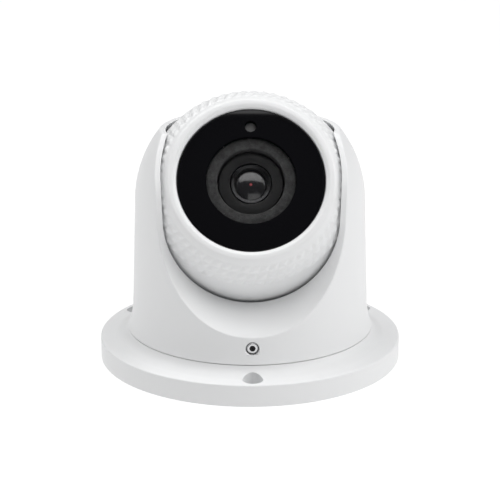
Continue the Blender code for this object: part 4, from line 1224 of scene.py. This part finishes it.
@dataclass
class Ball:
    """The two shells, the ring that they turn in, and the window with its seal."""

    radius: float = 44.3 * MM
    wall: float = 2.4 * MM
    front: Extent = field(default_factory=lambda: LENS.extent("front_shell"))
    rear: Extent = field(default_factory=lambda: LENS.extent("rear_shell"))
    ring: Extent = field(default_factory=lambda: LENS.extent("swivel_ring"))
    pane: Extent = field(default_factory=lambda: LENS.extent("front_window"))
    gasket: Extent = field(default_factory=lambda: LENS.extent("window_gasket"))
    neck: float = 41.1 * MM
    neck_wall: float = 3.2 * MM
    neck_root: float = 3.8 * MM
    band: tuple[float, float] = (math.radians(53.0), math.radians(68.4))
    band_rows: int = 3
    band_columns: int = 60
    cell_steps: int = 10
    pyramid: float = 0.7 * MM
    ridge_power: float = 9.0
    valley: float = 0.05
    lip: float = 0.9 * MM
    ledge: float = 0.9 * MM
    bezel_start: float = 0.9 * MM
    bezel_slope: float = 1.5 * MM
    rear_rim: float = -7.9 * MM
    bush_groove: float = 3.0 * MM
    bush_flange: float = 1.2 * MM

    def pyramids(self, u: Array, v: Array) -> Array:
        """Height of the band at a place in its pattern.

        Over one cell, with a and b running from -1 to 1 across it, the height is
        1 - (|a|^p + |b|^p)^(1/p), a pyramid whose ridges the power p rounds a little, and
        sqrt(h^2 + e^2) - e keeps a soft valley between the cells.

        Args:
            u: places round the band, in columns.
            v: places across it, in rows.

        Returns:
            Heights between 0 and about 1.
        """
        a = np.abs(2 * (u % 1.0) - 1)
        b = np.abs(2 * (v % 1.0) - 1)
        power, soft = self.ridge_power, self.valley
        height = np.clip(1 - (a**power + b**power) ** (1 / power), 0.0, 1.0)
        return np.sqrt(height**2 + soft**2) - soft

    def front_shell(self) -> None:
        """The bezel and the leaning pyramids, swept round the optical axis.

        The shell is a closed outline turned about the axis. In the band each ring is turned on a
        little more than the last, so that the columns lean, and its points are lifted off the
        ball by the pyramids' height.
        """
        back = math.acos(self.front.low / self.radius)
        first, last = self.band
        plane = self.front.high
        edge = chord(self.radius, plane)
        bore = self.pane.outer + GAP
        lip = plane - self.lip
        ledge_front = self.gasket.low - GAP
        ledge_back = ledge_front - self.ledge
        inner = self.radius - self.wall
        step = self.cell_steps * self.band_rows
        wall = arc(self.radius, back, last, 26)
        band = arc(self.radius, last, first, step)
        rest = outline(
            (arc(self.radius, first - 0.004, math.acos((plane - self.bezel_start) / self.radius), 5), 0.0),
            ([(edge - 0.15 * MM, plane - 0.1 * MM)], 0.5 * MM),
            ([(bore + self.bezel_slope, plane)], 0.5 * MM),
            ([(bore + 0.35 * MM, lip + 0.2 * MM), (bore, lip - 0.3 * MM)], 0.25 * MM),
            ([(bore, ledge_front), (self.gasket.inner - GAP, ledge_front)], 0.1 * MM),
            ([(self.gasket.inner - GAP, ledge_back)], 0.1 * MM),
            (arc(inner, math.acos(ledge_back / inner), math.acos(self.front.low / inner), 24), 0.0),
        )
        rings = np.concatenate([wall[:-1], band, rest])
        row = np.zeros(len(rings))
        row[len(wall) - 1 : len(wall) + step] = np.linspace(0.0, self.band_rows, step + 1)
        row[len(wall) + step :] = self.band_rows
        column = np.linspace(0.0, self.band_columns, self.band_columns * self.cell_steps, endpoint=False)
        u = column[None, :] + 0 * row[:, None]
        turn = 2 * np.pi / self.band_columns * (u + row[:, None] / self.band_rows)
        inside = (row > 0) & (row < self.band_rows)
        lift = self.pyramid * self.pyramids(u, row[:, None]) * inside[:, None]
        r, z = rings[:, :1], rings[:, 1:]
        scale = 1 + lift / self.radius
        grid = np.stack([r * scale * np.cos(turn), r * scale * np.sin(turn), z * scale], axis=-1)
        faces = surface_faces(len(rings), grid.shape[1], True)
        shell = make_piece("ball_front", LENS.world(grid.reshape(-1, 3)), faces, 50.0)
        fit_out(shell, Finish.BALL_SHELL, "head", "white_shell", "front_shell")

    def rear_shell(self) -> None:
        """The rear bowl with its neck and the hole for the lead."""
        inner = self.radius - self.wall
        top = self.rear_rim - GAP
        root = top - self.neck_root
        hole = self.rear.inner
        start = math.pi - math.asin(hole / self.radius)
        shape = outline(
            (arc(self.radius, start, math.acos(top / self.radius), 48), 0.0),
            ([(self.neck, top)], 0.3 * MM),
            ([(self.neck, self.rear.high), (self.neck - self.neck_wall, self.rear.high)], 0.4 * MM),
            ([(self.neck - self.neck_wall, root)], 0.2 * MM),
            (arc(inner, math.acos(root / inner), math.pi - math.asin(hole / inner), 36), 0.0),
        )
        fit_out(lathe("ball_rear", shape, LENS), Finish.BALL_SHELL, "head", "white_shell", "rear_shell")

    def swivel(self) -> None:
        """The ring between the shells, part of the ball's round outside."""
        low, high = self.ring.low, self.ring.high
        outer = arc(self.radius, math.acos(low / self.radius), math.acos(high / self.radius), 6)
        inner = self.ring.inner
        shape = outline(([(inner, low)], 0.2 * MM), (outer, 0.12 * MM), ([(inner, high)], 0.2 * MM))
        fit_out(lathe("ball_ring", shape, LENS), Finish.BALL_SHELL, "swivel", "pale_plastic", "swivel_ring")

    def window(self, clear_radius: float) -> None:
        """The pane, which is a disc with a small rounded edge, and its gasket.

        Args:
            clear_radius: the pane is clear inside this radius.
        """
        pane = self.pane
        shape = outline(
            ([(0.0, pane.low)], 0.0),
            ([(pane.outer, pane.low), (pane.outer, pane.high)], 0.3 * MM),
            ([(0.0, pane.high)], 0.0),
        )
        disc = lathe("window", shape, LENS)
        eye = off_axis("light_sensor", 1)
        finish = WindowPane(clear_radius, eye, eye.extent("light_sensor").outer)
        fit_out(disc, finish, "head", "dark_window", "front_window")
        piece = lathe("window_seal", outline((square_section(self.gasket), 0.2 * MM)), LENS)
        fit_out(piece, Finish.RUBBER, "head", "black_rubber", "window_gasket")

    def grommet(self) -> None:
        """The rubber bush where the lead leaves the ball."""
        bush = LENS.extent("shell_grommet")
        hole = self.rear.inner - GAP
        inside = bush.high - self.bush_groove
        shape = outline(
            ([(bush.inner, bush.low), (hole, bush.low), (hole, inside)], 0.3 * MM),
            ([(bush.outer, inside), (bush.outer, inside + self.bush_flange)], 0.3 * MM),
            ([(bush.inner + 0.8 * MM, bush.high), (bush.inner, bush.high)], 0.2 * MM),
        )
        fit_out(lathe("lead_bush", shape, LENS, 72), Finish.RUBBER, "head", "black_rubber", "shell_grommet")

    def build(self) -> None:
        """Builds the ball's outside."""
        self.front_shell()
        self.rear_shell()
        self.swivel()
        self.window(LENS.extent("light_shield").outer)
        self.grommet()
        dress_node("shell_seal", Finish.RUBBER)


# ---------------------------------------------------------------- lens and electronics


@dataclass
class Optics:
    """The lens, the foam ring round it, the lamps and the photocell."""

    barrel: Extent = field(default_factory=lambda: LENS.extent("lens_barrel"))
    trim: Extent = field(default_factory=lambda: LENS.extent("lens_trim_ring"))
    glass: Extent = field(default_factory=lambda: LENS.extent("lens_front_element"))
    rear_glass: Extent = field(default_factory=lambda: LENS.extent("lens_rear_element"))
    shield: Extent = field(default_factory=lambda: LENS.extent("light_shield"))
    head_length: float = 8.0 * MM
    thread_radius: float = 6.9 * MM
    trim_seat: float = 1.8 * MM
    glass_ledge: float = 1.1 * MM
    tail_lip: float = 0.6 * MM
    glass_edge: float = 0.5 * MM
    lamp_foot: float = 1.0 * MM
    lamp_step: float = 0.8 * MM
    eye_head: float = 2.6 * MM
    eye_step: float = 0.9 * MM

    def lens(self) -> None:
        """The barrel with its stepped mouth, the trim ring and both glasses."""
        face, back = self.barrel.high, self.barrel.low
        shoulder = face - self.head_length
        mouth = self.trim.outer + GAP
        seat = self.glass.low - GAP
        bore = self.glass.outer + GAP
        rear = self.rear_glass
        tail = rear.outer - self.tail_lip
        shape = outline(
            ([(tail, back), (self.thread_radius, back)], 0.3 * MM),
            ([(self.thread_radius, shoulder), (self.barrel.outer - 2 * MM, shoulder)], 0.2 * MM),
            ([(self.barrel.outer, shoulder + 2 * MM), (self.barrel.outer, face)], 0.6 * MM),
            ([(mouth, face), (mouth, face - self.trim_seat)], 0.15 * MM),
            ([(bore, face - self.trim_seat), (bore, seat), (bore - self.glass_ledge, seat)], 0.1 * MM),
            ([(rear.outer + GAP, rear.high + 1.0 * MM), (rear.outer + GAP, rear.low + 0.1 * MM)], 0.1 * MM),
            ([(tail, rear.low + 0.1 * MM)], 0.05 * MM),
        )
        fit_out(lathe("lens_tube", shape, LENS, 144), Finish.BARREL, "head", "black_plastic", "lens_barrel")
        trim = self.trim
        ring = outline(
            ([(trim.inner, trim.low), (trim.outer, trim.low)], 0.05 * MM),
            ([(trim.outer, trim.high - 0.25 * MM), (trim.outer - 0.35 * MM, trim.high)], 0.15 * MM),
            ([(trim.inner, trim.high - 0.4 * MM)], 0.1 * MM),
        )
        fit_out(lathe("lens_ring", ring, LENS, 144), Finish.TRIM, "head", "black_plastic", "lens_trim_ring")
        self.element()
        low, high, wide = rear.low, rear.high, rear.outer
        lens = outline(
            ([(0.0, low)], 0.0),
            ([(wide - 1.2 * MM, low + 0.4 * MM), (wide, low + 0.4 * MM), (wide, high)], 0.1 * MM),
            ([(0.0, high)], 0.0),
        )
        fit_out(lathe("rear_glass", lens, LENS, 72), Finish.GLASS, "head", "lens_glass", "lens_rear_element")

    def element(self) -> None:
        """The front glass: z falls from its crown by r^2 / 2b, as on a shallow sphere."""
        glass = self.glass
        sag = glass.high - glass.low - self.glass_edge
        bend = (glass.outer**2 + sag**2) / (2 * sag)
        dome = arc(bend, math.asin(glass.outer / bend), 0.0, 28, (0.0, glass.high - bend))
        dome[-1, 0] = 0.0
        shape = outline(([(0.0, glass.low), (glass.outer, glass.low)], 0.0), (dome, 0.0))
        piece = lathe("front_glass", shape, LENS, 128)
        fit_out(piece, Finish.GLASS, "head", "lens_glass", "lens_front_element")

    def foam_ring(self) -> None:
        """The soft ring between lamp board and window."""
        ring = self.shield
        shape = outline(
            ([(ring.inner, ring.low), (ring.outer, ring.low)], 0.1 * MM),
            ([(ring.outer, ring.high), (ring.inner, ring.high)], 0.6 * MM),
        )
        fit_out(lathe("foam_ring", shape, LENS, 144), Finish.FOAM, "head", "grey_foam", "light_shield")

    def lamps(self) -> None:
        """Both lamps: a round foot and a domed cap."""
        for name in ("infrared_lamp_left", "infrared_lamp_right"):
            spot = off_axis(name, 0)
            lamp = spot.extent(name)
            foot = lamp.low + self.lamp_foot
            cap = lamp.outer - self.lamp_step
            dome = arc(cap, math.pi / 2, 0.0, 12, (0.0, foot + 0.4 * MM))
            dome[-1, 0] = 0.0
            base = ([(lamp.outer, lamp.low), (lamp.outer, foot)], 0.2 * MM)
            shape = outline(([(0.0, lamp.low)], 0.0), base, (dome, 0.0))
            piece = lathe(name.replace("infrared_", ""), shape, spot, 48)
            fit_out(piece, Finish.LAMP, "head", "clear_resin", name)

    def photocell(self) -> None:
        """The light sensor's clear head on its stem."""
        spot = off_axis("light_sensor", 1)
        eye = spot.extent("light_sensor")
        stem = eye.outer - self.eye_step
        head = eye.high - self.eye_head
        shape = outline(
            ([(0.0, eye.low), (stem, eye.low)], 0.0),
            ([(stem, head), (eye.outer, head)], 0.15 * MM),
            ([(eye.outer, eye.high)], 0.7 * MM),
            ([(0.0, eye.high)], 0.0),
        )
        fit_out(lathe("photocell", shape, spot, 48), Finish.EYE, "head", "clear_resin", "light_sensor")

    def build(self) -> None:
        """Builds what stands behind the window."""
        self.lens()
        self.foam_ring()
        self.lamps()
        self.photocell()


def dress_electronics() -> None:
    """Gives the nodes inside the ball their finishes."""
    finishes = {
        Finish.BOARD: ("led_board", "sensor_board", "main_board"),
        Finish.BLACK: ("lens_holder", "image_sensor", "processor", "filter_housing", "filter_frame"),
        Finish.PALE: ("lead_socket", "board_link", "filter_lever"),
        Finish.CAST: ("carrier_frame",),
        Finish.COPPER: ("filter_coil",),
        Finish.GLASS: ("filter_glass",),
        Finish.INNER_STEEL: tuple(
            f"{kind}_{number}" for kind in ("frame_screw", "lamp_post", "board_post") for number in (1, 2, 3)
        ),
    }
    for finish, nodes in finishes.items():
        for node in nodes:
            dress_node(node, finish)


# ---------------------------------------------------------------- studio


@dataclass
class Studio:
    """The camera, the lights and the pale floor."""

    distance: float = 731 * MM
    elevation: float = math.radians(15.58)
    azimuth: float = math.radians(1.15)
    below_centre: float = math.radians(1.657)
    lens: float = 126.9
    light_distance: float = 1.2
    floor_reach: float = 6.0
    floor_drop: float = 0.05 * MM
    floor_glow: float = 0.93
    world_glow: float = 0.04

    def toward(self, azimuth: float, elevation: float) -> Array:
        """The unit vector from the ball towards a place round the object."""
        level = math.cos(elevation)
        return np.array([-math.sin(azimuth) * level, -math.cos(azimuth) * level, math.sin(elevation)])

    def camera(self) -> None:
        """Sets up the camera, aimed a little below the ball's centre."""
        data = bpy.data.cameras.new("camera")
        data.lens = self.lens
        data.sensor_width = 36.0
        data.clip_start = 0.05
        made = bpy.data.objects.new("camera", data)
        place = np.array(BALL.origin) + self.distance * self.toward(self.azimuth, self.elevation)
        made.location = place
        made.rotation_euler = (math.pi / 2 - self.elevation - self.below_centre, 0.0, -self.azimuth)
        bpy.context.scene.collection.objects.link(made)
        bpy.context.scene.camera = made

    def light(self, name: str, azimuth: float, elevation: float, size: float, power: float) -> None:
        """Adds a square soft light that faces the ball.

        Args:
            name: the light's name.
            azimuth: degrees from the front towards -X.
            elevation: degrees above the floor.
            size: the side of the light in metres.
            power: its power in watts.
        """
        data = bpy.data.lights.new(name, "AREA")
        data.size = size
        data.energy = power
        made = bpy.data.objects.new(name, data)
        way = self.toward(math.radians(azimuth), math.radians(elevation))
        made.location = np.array(BALL.origin) + self.light_distance * way
        made.rotation_euler = (math.pi / 2 - math.radians(elevation), 0.0, -math.radians(azimuth))
        bpy.context.scene.collection.objects.link(made)

    def floor(self) -> None:
        """The pale floor, which is lit by itself a little so that it stays even."""
        span = np.array([[-1, -1], [1, -1], [1, 1], [-1, 1]]) * self.floor_reach
        points = np.column_stack([span, np.full(4, -self.floor_drop)])
        floor = make_piece("floor", points, np.array([[0, 1, 2, 3]]))
        paint = Paint("floor_white")
        floor.data.materials.append(
            paint.surface(
                base_color=(0.12, 0.12, 0.12),
                roughness=0.9,
                emission_color=(1.0, 1.0, 1.0),
                emission_strength=self.floor_glow,
            )
        )

    def build(self) -> None:
        """Builds the studio."""
        self.camera()
        self.light("top_light", 0.0, 88.0, 1.3, 12.5)
        self.light("right_light", -78.0, 34.0, 0.9, 6.4)
        self.light("left_light", 75.0, 30.0, 0.9, 1.5)
        self.light("back_light", 125.0, 52.0, 0.8, 4.5)
        self.light("front_light", -10.0, 8.0, 0.7, 1.4)
        self.floor()
        world = bpy.data.worlds.new("studio")
        world.use_nodes = True
        background = world.node_tree.nodes["Background"]
        background.inputs["Color"].default_value = (1.0, 1.0, 1.0, 1.0)
        background.inputs["Strength"].default_value = self.world_glow
        bpy.context.scene.world = world
        bpy.context.scene.view_settings.view_transform = "Standard"


def main() -> None:
    """Builds every sub-assembly in order, then the studio."""
    logging.basicConfig(level=logging.INFO, format="%(message)s")
    MountingPlate().build()
    Shroud().build()
    Ball().build()
    Optics().build()
    dress_electronics()
    Studio().build()


if __name__ == "__main__":
    main()
